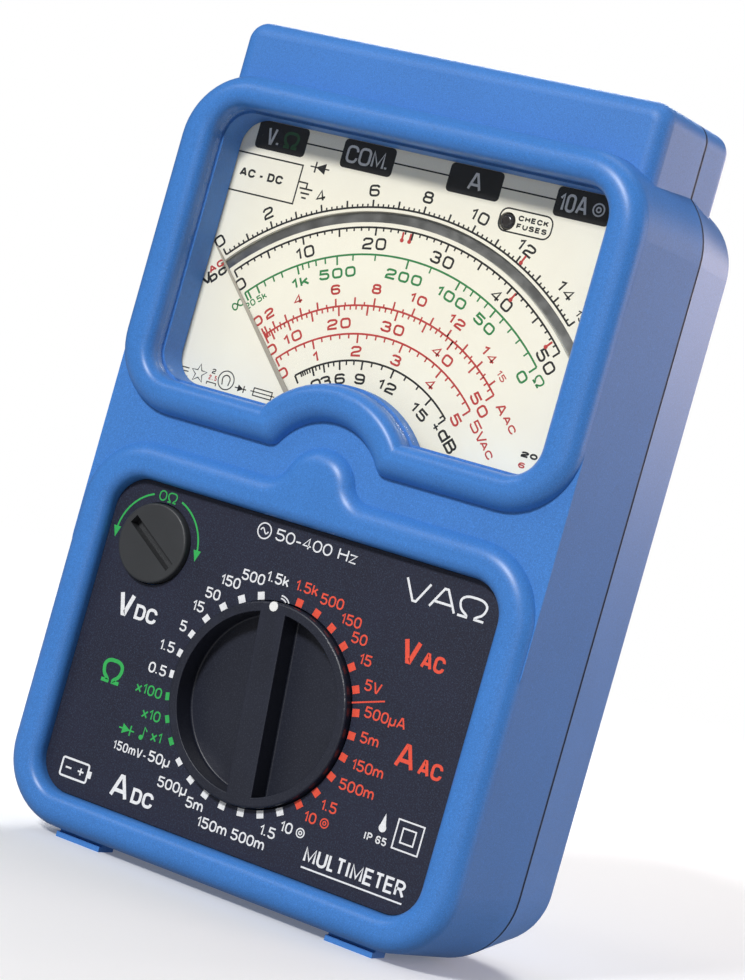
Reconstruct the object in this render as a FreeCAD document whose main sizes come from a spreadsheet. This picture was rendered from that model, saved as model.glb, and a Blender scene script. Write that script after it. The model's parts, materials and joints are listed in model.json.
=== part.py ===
"""Handheld analog multimeter, standing upright with its face towards -Y.

+X is to the right of the face, +Z is up, and Z = 0 is the underside of the two
cover lugs. Depths are counted from the face of the range panel into the case.
"""
import FreeCAD, Part
import Sketcher
import math
import os

from FreeCAD import Placement, Rotation, Vector

doc = FreeCAD.newDocument("Multimeter")

# --------------------------------------------------------------------------
# Driving dimensions, in millimetres and degrees
# --------------------------------------------------------------------------
SIZES = {
    # reference lines
    "mid_depth": 20.5,            # panel face to the middle of the case
    "knob_height": 37.6,          # axis of the range knob
    "pivot_height": 79.7,         # axis of the needle
    # case shells
    "case_half_width": 52.7,      # at the parting line
    "case_bottom": 0.6,
    "shoulder_height": 154.9,
    "case_corner": 15.5,
    "front_draft": 3.0,
    "rear_draft": 8.0,
    "parting_depth": 22.0,
    "parting_gap": 0.4,
    "seal_inset": 0.2,
    "seal_width": 1.8,
    "rear_depth": 45.5,
    "rear_rounding": 5.0,
    "label_recess": 0.4,
    "wall": 2.5,
    "rim_rounding": 3.8,
    "lip_rounding": 2.3,
    # raised frames on the front and the valley between them
    "valley_front": 1.0,
    "upper_crest": 4.5,
    "lower_crest": 3.3,
    "upper_frame_bottom": 85.4,
    "lower_frame_top": 79.8,
    "upper_hump": 13.0,
    "lower_hump": 8.3,
    "floor_depth": 3.7,
    # terminal housing on top
    "housing_half_width": 47.2,
    "housing_top": 165.4,
    "housing_front": 3.2,
    "housing_rear": 34.5,
    "housing_corner": 4.0,
    "housing_rounding": 3.2,
    # window
    "window_half_width": 44.0,
    "window_bottom": 92.2,
    "window_top": 147.2,
    "window_corner": 6.3,
    "window_hump": 20.1,
    "lens_ledge": 0.5,
    "lens_front": 1.4,
    "lens_thickness": 2.0,
    "fit_gap": 0.15,
    # range panel
    "panel_half_width": 44.2,
    "panel_bottom": 8.6,
    "panel_top": 72.4,
    "panel_corner": 7.0,
    "panel_thickness": 1.2,
    # range knob
    "knob_radius": 19.6,
    "knob_proud": 1.9,
    "knob_depth": 5.6,
    "knob_hole": 19.9,
    "grip_radius": 17.6,
    "grip_depth": 5.2,
    "grip_bar": 5.6,
    "knob_angle": 6.0,
    "dot_radius": 0.95,
    "dot_circle": 18.7,
    # zero-ohm knob
    "zero_x": -32.7,
    "zero_height": 60.65,
    "zero_radius": 7.85,
    "zero_proud": 1.5,
    "zero_depth": 1.9,
    "zero_slot_width": 2.0,
    "zero_slot_length": 13.0,
    "zero_slot_depth": 2.2,
    "zero_slot_angle": -33.0,
    # shafts
    "shaft_radius": 3.0,
    "shaft_bore": 3.05,
    "seal_bore": 4.2,
    # dial and movement
    "dial_depth": 7.34,
    "dial_thickness": 0.8,
    "dial_half_width": 46.0,
    "dial_bottom": 90.1,
    "dial_top": 148.6,
    "mirror_inner": 53.1,
    "mirror_outer": 55.3,
    "needle_depth": 5.0,
    "needle_tip": 57.5,
    "needle_rest": 135.5,
    "yoke_radius": 17.0,
    "yoke_bore": 8.6,
    "core_radius": 6.0,
    # terminals
    "socket_pitch": 24.1,
    "socket_radius": 6.9,
    "socket_bore": 2.03,
    # circuit board
    "board_depth": 16.0,
    "board_thickness": 1.6,
    "board_half_width": 42.5,
    "board_bottom": 6.0,
    "board_top": 140.5,
}

sheet = doc.addObject("Spreadsheet::Sheet", "Sizes")
for row, (alias, number) in enumerate(SIZES.items(), start=1):
    sheet.set(f"A{row}", alias)
    sheet.set(f"B{row}", str(number))
    sheet.setAlias(f"B{row}", alias)
doc.recompute()


class Dim:
    """A length that knows its value and the spreadsheet expression behind it."""

    def __init__(self, value, text):
        self.value = value
        self.text = text

    def _join(self, other, sign, value):
        return Dim(value, f"({self.text} {sign} {as_dim(other).text})")

    def __add__(self, other):
        return self._join(other, "+", self.value + as_dim(other).value)

    def __sub__(self, other):
        return self._join(other, "-", self.value - as_dim(other).value)

    def __mul__(self, other):
        return self._join(other, "*", self.value * as_dim(other).value)

    def __truediv__(self, other):
        return self._join(other, "/", self.value / as_dim(other).value)

    def __rsub__(self, other):
        return as_dim(other) - self

    def __radd__(self, other):
        return as_dim(other) + self

    def __neg__(self):
        return Dim(-self.value, f"(0 - {self.text})")


def as_dim(size):
    """Numbers become dimensions with their own text."""
    return size if isinstance(size, Dim) else Dim(float(size), f"({float(size):.6g})")


def cell(alias):
    """One driving dimension from the spreadsheet."""
    return Dim(float(SIZES[alias]), f"Sizes.{alias}")


def bind(thing, prop, size):
    """Give a property its value and, where it is driven, its expression."""
    size = as_dim(size)
    if hasattr(thing, prop):
        setattr(thing, prop, size.value)
    if "Sizes." in size.text:
        thing.setExpression(prop, size.text)


def depth(size):
    """World Y of a depth counted from the panel face into the case."""
    return as_dim(size) - cell("mid_depth")


def place(thing, x, y, z, rotation=None):
    """Put an object at a point, with each coordinate bound to the sheet."""
    point = [as_dim(c) for c in (x, y, z)]
    rotation = rotation or Rotation()
    thing.Placement = Placement(Vector(*[c.value for c in point]), rotation)
    for axis, coordinate in zip("xyz", point):
        if "Sizes." in coordinate.text:
            thing.setExpression(f"Placement.Base.{axis}", coordinate.text)


FACE_FORWARD = Rotation(Vector(1, 0, 0), 90)       # local Z becomes world -Y
FACE_BACK = Rotation(Vector(1, 0, 0), -90)         # local Z becomes world +Y
serial = 0


def add(kind, stem):
    """A new document object with a running number in its internal name."""
    global serial
    serial += 1
    return doc.addObject(kind, f"{stem}{serial}")


# --------------------------------------------------------------------------
# Primitives and booleans
# --------------------------------------------------------------------------
def rod(radius, front, back, x=0.0, z=0.0):
    """Cylinder along Y between two depths."""
    item = add("Part::Cylinder", "Rod")
    bind(item, "Radius", radius)
    bind(item, "Height", as_dim(back) - front)
    place(item, x, depth(front), z, FACE_BACK)
    return item


def post(radius, bottom, top, x, at_depth):
    """Cylinder along Z between two heights."""
    item = add("Part::Cylinder", "Post")
    bind(item, "Radius", radius)
    bind(item, "Height", as_dim(top) - bottom)
    place(item, x, depth(at_depth), bottom)
    return item


def block(left, right, front, back, bottom, top):
    """Box between two X, two depths and two heights."""
    item = add("Part::Box", "Block")
    bind(item, "Length", as_dim(right) - left)
    bind(item, "Width", as_dim(back) - front)
    bind(item, "Height", as_dim(top) - bottom)
    place(item, left, depth(front), bottom)
    return item


def ring(major, minor, at_depth, x, z):
    """O-ring round a Y axis."""
    item = add("Part::Torus", "Ring")
    bind(item, "Radius1", major)
    bind(item, "Radius2", minor)
    place(item, x, depth(at_depth), z, FACE_BACK)
    return item


def fuse(*parts):
    """Union of two or more objects."""
    item = add("Part::MultiFuse", "Union")
    item.Shapes = list(parts)
    item.Refine = True
    return item


def cut(base, *tools):
    """Base with every tool taken away."""
    item = add("Part::Cut", "Cut")
    item.Base = base
    item.Tool = tools[0] if len(tools) == 1 else fuse(*tools)
    item.Refine = True
    return item


def group(*parts):
    """Separate solids kept side by side in one sub-part."""
    item = add("Part::Compound", "Group")
    item.Links = list(parts)
    return item


def turned(base, x, z, degrees):
    """The object turned about a Y axis, anticlockwise seen from the front."""
    item = group(base)
    centre = Vector(as_dim(x).value, 0, as_dim(z).value)
    item.Placement = Placement(Vector(), Rotation(Vector(0, -1, 0), degrees), centre)
    return item


def rounded(base, radius, wanted):
    """Fillet of the edges that `wanted` accepts."""
    doc.recompute()
    radius = as_dim(radius).value
    edges = [(i, radius, radius) for i, edge in enumerate(base.Shape.Edges, 1) if wanted(edge)]
    if not edges:
        raise RuntimeError(f"no edge to round on {base.Name}")
    item = add("Part::Fillet", "Rounded")
    item.Base = base
    item.Edges = edges
    return item


def at_plane(world_y, tolerance=0.02):
    """Edge test: the whole edge lies in the plane Y = world_y."""
    level = as_dim(world_y).value

    def test(edge):
        box = edge.BoundBox
        return abs(box.YMin - level) < tolerance and abs(box.YMax - level) < tolerance
    return test


def along_depth(test_point=lambda point: True):
    """Edge test: the edge runs along Y, at an accepted place."""
    def test(edge):
        box = edge.BoundBox
        straight = box.YLength > 0.5 and box.YLength > 3 * max(box.XLength, box.ZLength)
        return straight and test_point(edge.CenterOfMass)
    return test


# --------------------------------------------------------------------------
# Sketched outlines
# --------------------------------------------------------------------------
def rounded_outline(sketch, left, right, bottom, top, radius):
    """Draw a round-cornered rectangle, tangent all round and bound to the sheet."""
    left, right, bottom, top, radius = [as_dim(s) for s in (left, right, bottom, top, radius)]
    x0, x1, z0, z1, r = [s.value for s in (left, right, bottom, top, radius)]
    lines = [((x0 + r, z0), (x1 - r, z0)), ((x1, z0 + r), (x1, z1 - r)),
             ((x1 - r, z1), (x0 + r, z1)), ((x0, z1 - r), (x0, z0 + r))]
    centres = [(x1 - r, z0 + r), (x1 - r, z1 - r), (x0 + r, z1 - r), (x0 + r, z0 + r)]
    start_angles = [-90, 0, 90, 180]
    first = sketch.GeometryCount
    for (ax, az), (bx, bz) in lines:
        sketch.addGeometry(Part.LineSegment(Vector(ax, az, 0), Vector(bx, bz, 0)))
    for (cx, cz), start in zip(centres, start_angles):
        circle = Part.Circle(Vector(cx, cz, 0), Vector(0, 0, 1), r)
        sketch.addGeometry(Part.ArcOfCircle(circle, math.radians(start), math.radians(start + 90)))
    for side in range(4):
        line, arc, following = first + side, first + 4 + side, first + (side + 1) % 4
        sketch.addConstraint(Sketcher.Constraint("Tangent", line, 2, arc, 1))
        sketch.addConstraint(Sketcher.Constraint("Tangent", arc, 2, following, 1))
    for side, kind in enumerate(("Horizontal", "Vertical", "Horizontal", "Vertical")):
        sketch.addConstraint(Sketcher.Constraint(kind, first + side))
    for arc in (first + 5, first + 6, first + 7):
        sketch.addConstraint(Sketcher.Constraint("Equal", first + 4, arc))
    driven = [("Radius", (first + 4,), radius),
              ("DistanceX", (-1, 1, first + 1, 1), right),
              ("DistanceX", (-1, 1, first + 3, 1), left),
              ("DistanceY", (-1, 1, first, 1), bottom),
              ("DistanceY", (-1, 1, first + 2, 1), top)]
    for kind, where, size in driven:
        index = sketch.addConstraint(Sketcher.Constraint(kind, *where, size.value))
        if "Sizes." in size.text:
            sketch.setExpression(f"Constraints[{index}]", size.text)


def round_outline(sketch, radius, x=0.0, z=0.0):
    """Draw a circle bound to the sheet."""
    radius, x, z = as_dim(radius), as_dim(x), as_dim(z)
    index = sketch.addGeometry(Part.Circle(Vector(x.value, z.value, 0), Vector(0, 0, 1), radius.value))
    number = sketch.addConstraint(Sketcher.Constraint("Radius", index, radius.value))
    if "Sizes." in radius.text:
        sketch.setExpression(f"Constraints[{number}]", radius.text)
    for kind, size in (("DistanceX", x), ("DistanceY", z)):
        if abs(size.value) < 1e-9:
            other = "Vertical" if kind == "DistanceX" else "Horizontal"
            sketch.addConstraint(Sketcher.Constraint(other, -1, 1, index, 3))
            continue
        number = sketch.addConstraint(Sketcher.Constraint(kind, -1, 1, index, 3, size.value))
        if "Sizes." in size.text:
            sketch.setExpression(f"Constraints[{number}]", size.text)


def slab(front, back, outline, *sizes, taper=0.0, from_back=True):
    """Outline pushed through a range of depths; a negative taper narrows it as it goes."""
    sketch = add("Sketcher::SketchObject", "Outline")
    place(sketch, 0, depth(back if from_back else front), 0, FACE_FORWARD)
    outline(sketch, *sizes)
    doc.recompute()
    item = add("Part::Extrusion", "Slab")
    item.Base = sketch
    item.DirMode = "Normal"
    item.Solid = True
    length = as_dim(back) - front
    if from_back:
        bind(item, "LengthFwd", length)
        bind(item, "TaperAngle", taper)
    else:
        item.LengthFwd = 0
        bind(item, "LengthRev", length)
        bind(item, "TaperAngleRev", taper)
    return item


NODES = {}


def node(label, item):
    """Name a finished sub-part; its label names its file."""
    item.Label = label
    NODES[label] = item
    return item


# --------------------------------------------------------------------------
# PartDesign helpers
# --------------------------------------------------------------------------
def new_body(name):
    """An empty PartDesign body."""
    return doc.addObject("PartDesign::Body", name)


def body_sketch(body, name, front):
    """Sketch on the body's own XZ plane, facing forward at a given depth."""
    sketch = body.newObject("Sketcher::SketchObject", name)
    plane = [f for f in body.Origin.OriginFeatures if f.Role == "XZ_Plane"][0]
    sketch.AttachmentSupport = [(plane, "")]
    sketch.MapMode = "FlatFace"
    offset = -depth(front)
    sketch.AttachmentOffset = Placement(Vector(0, 0, offset.value), Rotation())
    sketch.setExpression("AttachmentOffset.Base.z", offset.text)
    return sketch


def pad(body, sketch, thickness, backward=True):
    """Pad a sketch into the case (or out of it)."""
    feature = body.newObject("PartDesign::Pad", f"Pad_{sketch.Name}")
    feature.Profile = sketch
    bind(feature, "Length", thickness)
    feature.Reversed = backward
    doc.recompute()
    return feature


def pocket(body, sketch, thickness):
    """Cut a sketch into the case, and make sure that it really cut."""
    before = body.Shape.Volume
    feature = body.newObject("PartDesign::Pocket", f"Pocket_{sketch.Name}")
    feature.Profile = sketch
    bind(feature, "Length", thickness)
    doc.recompute()
    if body.Shape.Volume > before - 1e-6:
        feature.Reversed = True
        doc.recompute()
    if body.Shape.Volume > before - 1e-6:
        raise RuntimeError(f"{feature.Name} cuts nothing")
    return feature


# --------------------------------------------------------------------------
# Named places
# --------------------------------------------------------------------------
knob_z = cell("knob_height")
pivot_z = cell("pivot_height")
zero_x = cell("zero_x")
zero_z = cell("zero_height")
half = cell("case_half_width")
parting = cell("parting_depth")
gap = cell("parting_gap")
floor = cell("floor_depth")
front_edge = parting - gap / 2
rear_edge = parting + gap / 2
wall = cell("wall")
draft = -cell("front_draft")
rear_taper = -cell("rear_draft")
housing = cell("housing_half_width")
corner = cell("case_corner")

SOCKETS = [cell("socket_pitch") * factor for factor in (-1.44, -0.6, 0.4, 1.38)]
SCREW_PLACES = [(-42.5, 12.5), (42.5, 12.5), (-43.0, 137.8), (43.0, 137.8)]
CHASSIS_SCREWS = [(-31.0, 87.1), (31.0, 87.1), (-31.0, 151.6), (31.0, 151.6)]
BOARD_SCREWS = [(-35.0, 9.0), (35.0, 9.0), (-39.0, 79.7), (39.0, 79.7)]
SCREW_SEAT = 38.0                 # depth at which the case screws' heads rest
HOUSING_FOOT = 140.0              # where the terminal housing starts inside the case
LUG_MIDDLE, LUG_HALF = 31.75, 5.25
LAMP = (18.7, 138.0)


# --------------------------------------------------------------------------
# Front shell
# --------------------------------------------------------------------------
def front_shape():
    """Outside of the front shell: two raised frames, the valley and the terminal housing."""
    crest = -cell("upper_crest")
    upper = slab(crest, front_edge, rounded_outline, -half, half,
                 cell("upper_frame_bottom") - 1.2, cell("shoulder_height"), corner, taper=draft)
    upper = cut(upper, rod(cell("upper_hump"), crest - 1, front_edge + 1, 0, pivot_z))
    notch = along_depth(lambda point: abs(point.x) < 20 and point.z < 92)
    upper = rounded(upper, 2.5, notch)
    upper = rounded(upper, cell("rim_rounding"), at_plane(depth(crest)))

    crest = -cell("lower_crest")
    lower = slab(crest, front_edge, rounded_outline, -half, half, cell("case_bottom"),
                 cell("lower_frame_top") + 1.2, corner, taper=draft)
    lower = fuse(lower, rod(cell("lower_hump"), crest, front_edge, 0, pivot_z))
    notch = along_depth(lambda point: abs(point.x) < 12 and 76 < point.z < 84)
    lower = rounded(lower, 4.0, notch)
    lower = rounded(lower, cell("rim_rounding"), at_plane(depth(crest)))

    valley = slab(-cell("valley_front"), front_edge, rounded_outline, -half, half,
                  50.0, 120.0, 8.0, taper=draft)
    case = fuse(upper, lower, valley)

    top = slab(cell("housing_front"), front_edge, rounded_outline, -housing, housing,
               HOUSING_FOOT, cell("housing_top"), cell("housing_corner"))
    top = rounded(top, cell("housing_rounding"), at_plane(depth(cell("housing_front"))))
    return fuse(case, top, *cover_lugs())


def cover_lugs():
    """Two hooked lugs under the case, on which a front cover hinges."""
    lugs = []
    for left, right in lug_sides():
        lugs += [block(left, right, 1.6, 5.6, 0.0, 4.0), block(left, right, 0.5, 3.0, 0.0, 1.1)]
    return lugs


def lug_sides():
    """Left and right X of the two lugs, and of the feet behind them."""
    return [(side * LUG_MIDDLE - LUG_HALF, side * LUG_MIDDLE + LUG_HALF) for side in (-1, 1)]


def window_opening():
    """Hole for the lens and, behind it, the smaller hole that leaves its ledge."""
    side, low, high = cell("window_half_width"), cell("window_bottom"), cell("window_top")
    ledge = cell("lens_ledge")
    lens_back = -cell("lens_front") + cell("lens_thickness")
    hump = cell("window_hump")
    outer = cut(slab(-10, lens_back, rounded_outline, -side, side, low, high, cell("window_corner")),
                rod(hump, -11, lens_back + 1, 0, pivot_z))
    inner = cut(slab(lens_back - 1, floor + 5, rounded_outline, -side + ledge, side - ledge,
                     low + ledge, high - ledge, cell("window_corner") - ledge),
                rod(hump + ledge, lens_back - 2, floor + 6, 0, pivot_z))
    return outer, inner


def bosses(places, radius, front, back):
    """Round pillars at several places."""
    return [rod(radius, front, back, x, z) for x, z in places]


def screw_ribs():
    """Webs that tie the case-screw pillars to the side walls."""
    ribs = []
    for x, z in SCREW_PLACES:
        low, high = sorted((x, math.copysign(50.3, x)))
        ribs.append(block(low, high, 11.5, front_edge, z - 1.0, z + 1.0))
    return ribs


def build_front_shell():
    """Front shell with its openings, cavity, skirt, wells and screw pillars."""
    outside = front_shape()
    outer_window, inner_window = window_opening()
    panel_seat = slab(-10, cell("panel_thickness"), rounded_outline, -cell("panel_half_width"),
                      cell("panel_half_width"), cell("panel_bottom"), cell("panel_top"),
                      cell("panel_corner"))
    shell = cut(outside, outer_window, panel_seat)
    inner_lips = lip_edges()
    shell = rounded(shell, cell("lip_rounding"), inner_lips)

    cavity = slab(floor, front_edge + 1, rounded_outline, -half + wall + 0.4, half - wall - 0.4,
                  cell("case_bottom") + wall + 0.4, cell("shoulder_height") - wall - 0.4,
                  corner - wall, taper=draft)
    attic = slab(cell("housing_front") + wall, front_edge + 1, rounded_outline,
                 -housing + wall, housing - wall, HOUSING_FOOT, cell("housing_top") - wall, 2.0)
    shell = cut(shell, inner_window, cavity, attic)

    well_depth = 6.2
    side, low, high = cell("window_half_width"), cell("window_bottom"), cell("window_top")
    skirt = cut(slab(floor - 1, cell("dial_depth") - 0.35, rounded_outline, -side - 0.9, side + 0.9,
                     low - 0.9, high + 0.9, cell("window_corner") + 0.9),
                slab(floor - 2, cell("dial_depth"), rounded_outline, -side + 0.5, side - 0.5,
                     low + 0.5, high - 0.5, cell("window_corner") - 0.5),
                block(-22, 22, floor - 2, cell("dial_depth"), low - 3, low + 8))
    well = rod(cell("knob_hole") + 1.7, floor - 1, 10.0, 0, knob_z)
    zero_boss = rod(6.2, floor - 1, 6.5, zero_x, zero_z)
    pillars = (bosses(SCREW_PLACES, 3.4, 10.5, front_edge) + screw_ribs()
               + bosses(CHASSIS_SCREWS, 2.6, floor - 1, 9.4)
               + bosses(BOARD_SCREWS, 2.4, floor - 1, cell("board_depth")))
    shell = fuse(shell, skirt, well, zero_boss, *pillars)

    holes = [
        rod(cell("knob_hole"), 0.5, well_depth, 0, knob_z),
        rod(cell("seal_bore"), well_depth - 0.5, 8.2, 0, knob_z),
        rod(cell("shaft_bore"), 8.0, 11.0, 0, knob_z),
        rod(cell("zero_radius") + 0.25, 0.5, 2.2, zero_x, zero_z),
        rod(cell("seal_bore"), 2.0, 4.2, zero_x, zero_z),
        rod(cell("shaft_bore"), 4.0, 7.0, zero_x, zero_z),
        rod(11.0, 1.2, floor + 1, 0, pivot_z),
        *bosses(SCREW_PLACES, 1.25, 12.0, front_edge + 1),
        *bosses(CHASSIS_SCREWS, 1.0, 4.2, 10.0),
        *bosses(BOARD_SCREWS, 1.0, 8.0, cell("board_depth") + 1),
        *[post(cell("socket_radius"), cell("housing_top") - wall - 1,
               cell("housing_top") + 1, x, parting) for x in SOCKETS],
    ]
    return node("front_shell", cut(shell, *holes))


def lip_edges():
    """Inner front edges of both frames, where the rim rolls into its opening."""
    doc.recompute()
    upper = at_plane(depth(-cell("upper_crest")))
    lower = at_plane(depth(-cell("lower_crest")))
    side, panel_side = SIZES["window_half_width"], SIZES["panel_half_width"]

    def wanted(edge):
        box = edge.BoundBox
        in_window = upper(edge) and box.ZMin > SIZES["window_bottom"] - 0.05 \
            and box.ZMax < SIZES["window_top"] + 0.05 and max(-box.XMin, box.XMax) < side + 0.05
        in_panel = lower(edge) and box.ZMin > SIZES["panel_bottom"] - 0.05 \
            and box.ZMax < SIZES["panel_top"] + 0.05 \
            and max(-box.XMin, box.XMax) < panel_side + 0.05
        return in_window or in_panel
    return wanted


# --------------------------------------------------------------------------
# Rear shell and seal
# --------------------------------------------------------------------------
def build_rear_shell():
    """Rear shell: drafted tub, rear half of the terminal housing, feet and screw pillars."""
    back = cell("rear_depth")
    tub = slab(rear_edge, back, rounded_outline, -half, half, cell("case_bottom"),
               cell("shoulder_height"), corner, taper=rear_taper, from_back=False)
    tub = rounded(tub, cell("rear_rounding"), at_plane(depth(back)))
    top = slab(rear_edge, cell("housing_rear"), rounded_outline, -housing, housing, HOUSING_FOOT,
               cell("housing_top"), cell("housing_corner"))
    top = rounded(top, cell("housing_rounding"), at_plane(depth(cell("housing_rear"))))
    feet = [block(left, right, 34.0, 39.0, 0.0, 8.0) for left, right in lug_sides()]
    outside = fuse(tub, top, *feet)

    cavity = slab(rear_edge - 1, back - wall, rounded_outline, -half + wall, half - wall,
                  cell("case_bottom") + wall, cell("shoulder_height") - wall, corner - wall,
                  taper=rear_taper, from_back=False)
    attic = slab(rear_edge - 1, cell("housing_rear") - wall, rounded_outline, -housing + wall,
                 housing - wall, 135.0, cell("housing_top") - wall, 2.0)
    shell = cut(outside, cavity, attic)
    pillars = bosses(SCREW_PLACES, 3.4, rear_edge, back - 2.0)
    shell = fuse(shell, *pillars)
    holes = [
        *bosses(SCREW_PLACES, 1.7, rear_edge - 1, back + 1),
        *bosses(SCREW_PLACES, 3.2, SCREW_SEAT, back + 1),
        slab(back - cell("label_recess"), back + 1, rounded_outline, -34.0, 34.0, 98.0, 134.0, 3.0),
        *[post(cell("socket_radius"), cell("housing_top") - wall - 1,
               cell("housing_top") + 1, x, parting) for x in SOCKETS],
    ]
    return node("rear_shell", cut(shell, *holes))


def build_case_seal():
    """Flat rubber seal between the two shells, just inside their outline."""
    inset, width = cell("seal_inset"), cell("seal_width")
    outer = fuse(slab(front_edge, rear_edge, rounded_outline, -half + inset, half - inset,
                      cell("case_bottom") + inset, cell("shoulder_height") - inset, corner - inset),
                 slab(front_edge, rear_edge, rounded_outline, -housing + inset, housing - inset,
                      HOUSING_FOOT, cell("housing_top") - inset, cell("housing_corner") - inset))
    inner = fuse(slab(front_edge - 1, rear_edge + 1, rounded_outline, -half + inset + width,
                      half - inset - width, cell("case_bottom") + inset + width,
                      cell("shoulder_height") - inset - width, corner - inset - width),
                 slab(front_edge - 1, rear_edge + 1, rounded_outline, -housing + inset + width,
                      housing - inset - width, HOUSING_FOOT - 5.0,
                      cell("housing_top") - inset - width, 1.5))
    passages = [post(cell("socket_radius"), cell("housing_top") - 4,
                     cell("housing_top") + 1, x, parting) for x in SOCKETS]
    return node("case_seal", cut(outer, inner, *passages))


def build_case_screws():
    """Four long screws that hold the shells together from behind."""
    screws = []
    for x, z in SCREW_PLACES:
        cross = [block(x - wide, x + wide, SCREW_SEAT + 1.6, SCREW_SEAT + 3, z - high, z + high)
                 for wide, high in ((2.0, 0.4), (0.4, 2.0))]
        head = cut(rod(2.9, SCREW_SEAT, SCREW_SEAT + 2.6, x, z), *cross)
        screws.append(fuse(head, rod(1.2, 13.0, SCREW_SEAT + 0.5, x, z)))
    return node("case_screws", group(*screws))


# --------------------------------------------------------------------------
# Window lens and range panel
# --------------------------------------------------------------------------
def build_window_lens():
    """Clear lens, cut out round the hump over the movement."""
    body = new_body("window_lens_body")
    play = cell("fit_gap")
    side, low, high = cell("window_half_width"), cell("window_bottom"), cell("window_top")
    face = body_sketch(body, "LensOutline", -cell("lens_front"))
    rounded_outline(face, -side + play, side - play, low + play, high - play,
                    cell("window_corner") - play)
    pad(body, face, cell("lens_thickness"))
    hump = body_sketch(body, "LensHump", -cell("lens_front") - 1)
    round_outline(hump, cell("window_hump") + play, 0.0, pivot_z)
    pocket(body, hump, cell("lens_thickness") + 2)
    return node("window_lens", body)


def build_range_panel():
    """Printed front panel with clearance holes for both knobs."""
    body = new_body("range_panel_body")
    play = cell("fit_gap")
    side = cell("panel_half_width") - play
    face = body_sketch(body, "PanelOutline", 0.0)
    rounded_outline(face, -side, side, cell("panel_bottom") + play, cell("panel_top") - play,
                    cell("panel_corner") - play)
    pad(body, face, cell("panel_thickness"))
    holes = body_sketch(body, "PanelHoles", -1.0)
    round_outline(holes, cell("knob_hole"), 0.0, knob_z)
    round_outline(holes, cell("zero_radius") + 0.25, zero_x, zero_z)
    pocket(body, holes, cell("panel_thickness") + 2)
    return node("range_panel", body)


# --------------------------------------------------------------------------
# Range selector
# --------------------------------------------------------------------------
def build_selector():
    """Knob with a grip bar between two finger recesses, on a sealed shaft with its rotor."""
    front = -cell("knob_proud")
    bar = cell("grip_bar") / 2
    grip = cell("grip_radius")
    recess_end = front + cell("grip_depth")
    disc = rounded(rod(cell("knob_radius"), front, cell("knob_depth"), 0, knob_z), 0.5,
                   at_plane(depth(front)))
    recess = rod(grip, front - 1, recess_end, 0, knob_z)
    keep = block(-bar, bar, front - 2, recess_end + 1, knob_z - grip - 1, knob_z + grip + 1)
    hollow = cut(recess, keep)
    dot_hole = rod(cell("dot_radius"), front - 1, front + 0.8, 0, knob_z + cell("dot_circle"))
    socket = rod(cell("shaft_radius"), 3.9, 6.0, 0, knob_z)
    knob = rounded(cut(disc, hollow), 0.4, at_plane(depth(recess_end)))
    knob = rounded(knob, 0.2, inner_edges(depth(front), grip))
    knob = cut(knob, dot_hole, socket)
    angle = SIZES["knob_angle"]
    node("selector_knob", turned(knob, 0, knob_z, angle))
    dot = rounded(rod(cell("dot_radius"), front - 0.1, front + 0.8, 0,
                      knob_z + cell("dot_circle")), 0.08, at_plane(depth(front - 0.1)))
    node("selector_dot", turned(dot, 0, knob_z, angle))

    shaft = fuse(rod(cell("shaft_radius"), 3.9, 15.9, 0, knob_z), rod(2.0, 15.8, 18.9, 0, knob_z))
    groove = cut(rod(3.5, 18.0, 18.4, 0, knob_z), rod(1.6, 17.5, 19.0, 0, knob_z))
    node("selector_shaft", cut(shaft, groove))
    node("selector_seal", ring(3.59, 0.57, 7.1, 0, knob_z))
    clip = cut(rod(3.6, 18.02, 18.38, 0, knob_z), rod(1.62, 17.5, 19.0, 0, knob_z),
               block(-1.4, 1.4, 17.5, 19.0, knob_z, knob_z + 4))
    node("shaft_clip", clip)

    hub = fuse(rod(17.0, 12.2, 13.8, 0, knob_z), rod(5.5, 10.4, 14.4, 0, knob_z))
    notches = [turned(rod(0.7, 11.0, 15.0, 0, knob_z + 17.0), 0, knob_z, angle + 12 * k)
               for k in range(30)]
    rotor = cut(hub, rod(cell("shaft_radius"), 9.0, 16.0, 0, knob_z), *notches)
    node("switch_rotor", rotor)
    wipers = []
    for radius, turn in ((9.0, 30), (12.0, 150), (14.5, 270)):
        strip = fuse(block(-1.0, 1.0, 13.8, 14.1, knob_z + radius - 2.4, knob_z + radius + 1.0),
                     block(-0.8, 0.8, 14.0, 15.85, knob_z + radius - 0.6, knob_z + radius + 0.6))
        wipers.append(turned(strip, 0, knob_z, turn))
    node("wiper_contacts", group(*wipers))


def inner_edges(world_y, reach):
    """Edge test: in the plane Y = world_y, and no further than reach from the knob's axis."""
    in_plane = at_plane(world_y)
    limit = reach.value + 0.1

    def test(edge):
        box = edge.BoundBox
        return in_plane(edge) and max(-box.XMin, box.XMax) < limit
    return test


def build_detent():
    """Leaf spring that clicks over the rotor's thirty notches."""
    leaf = block(-4.0, 4.0, 12.4, 13.6, knob_z + 17.4, knob_z + 17.8)
    stem = block(3.2, 4.0, 12.4, 16.0, knob_z + 17.4, knob_z + 20.4)
    node("detent_spring", fuse(leaf, stem))


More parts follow.
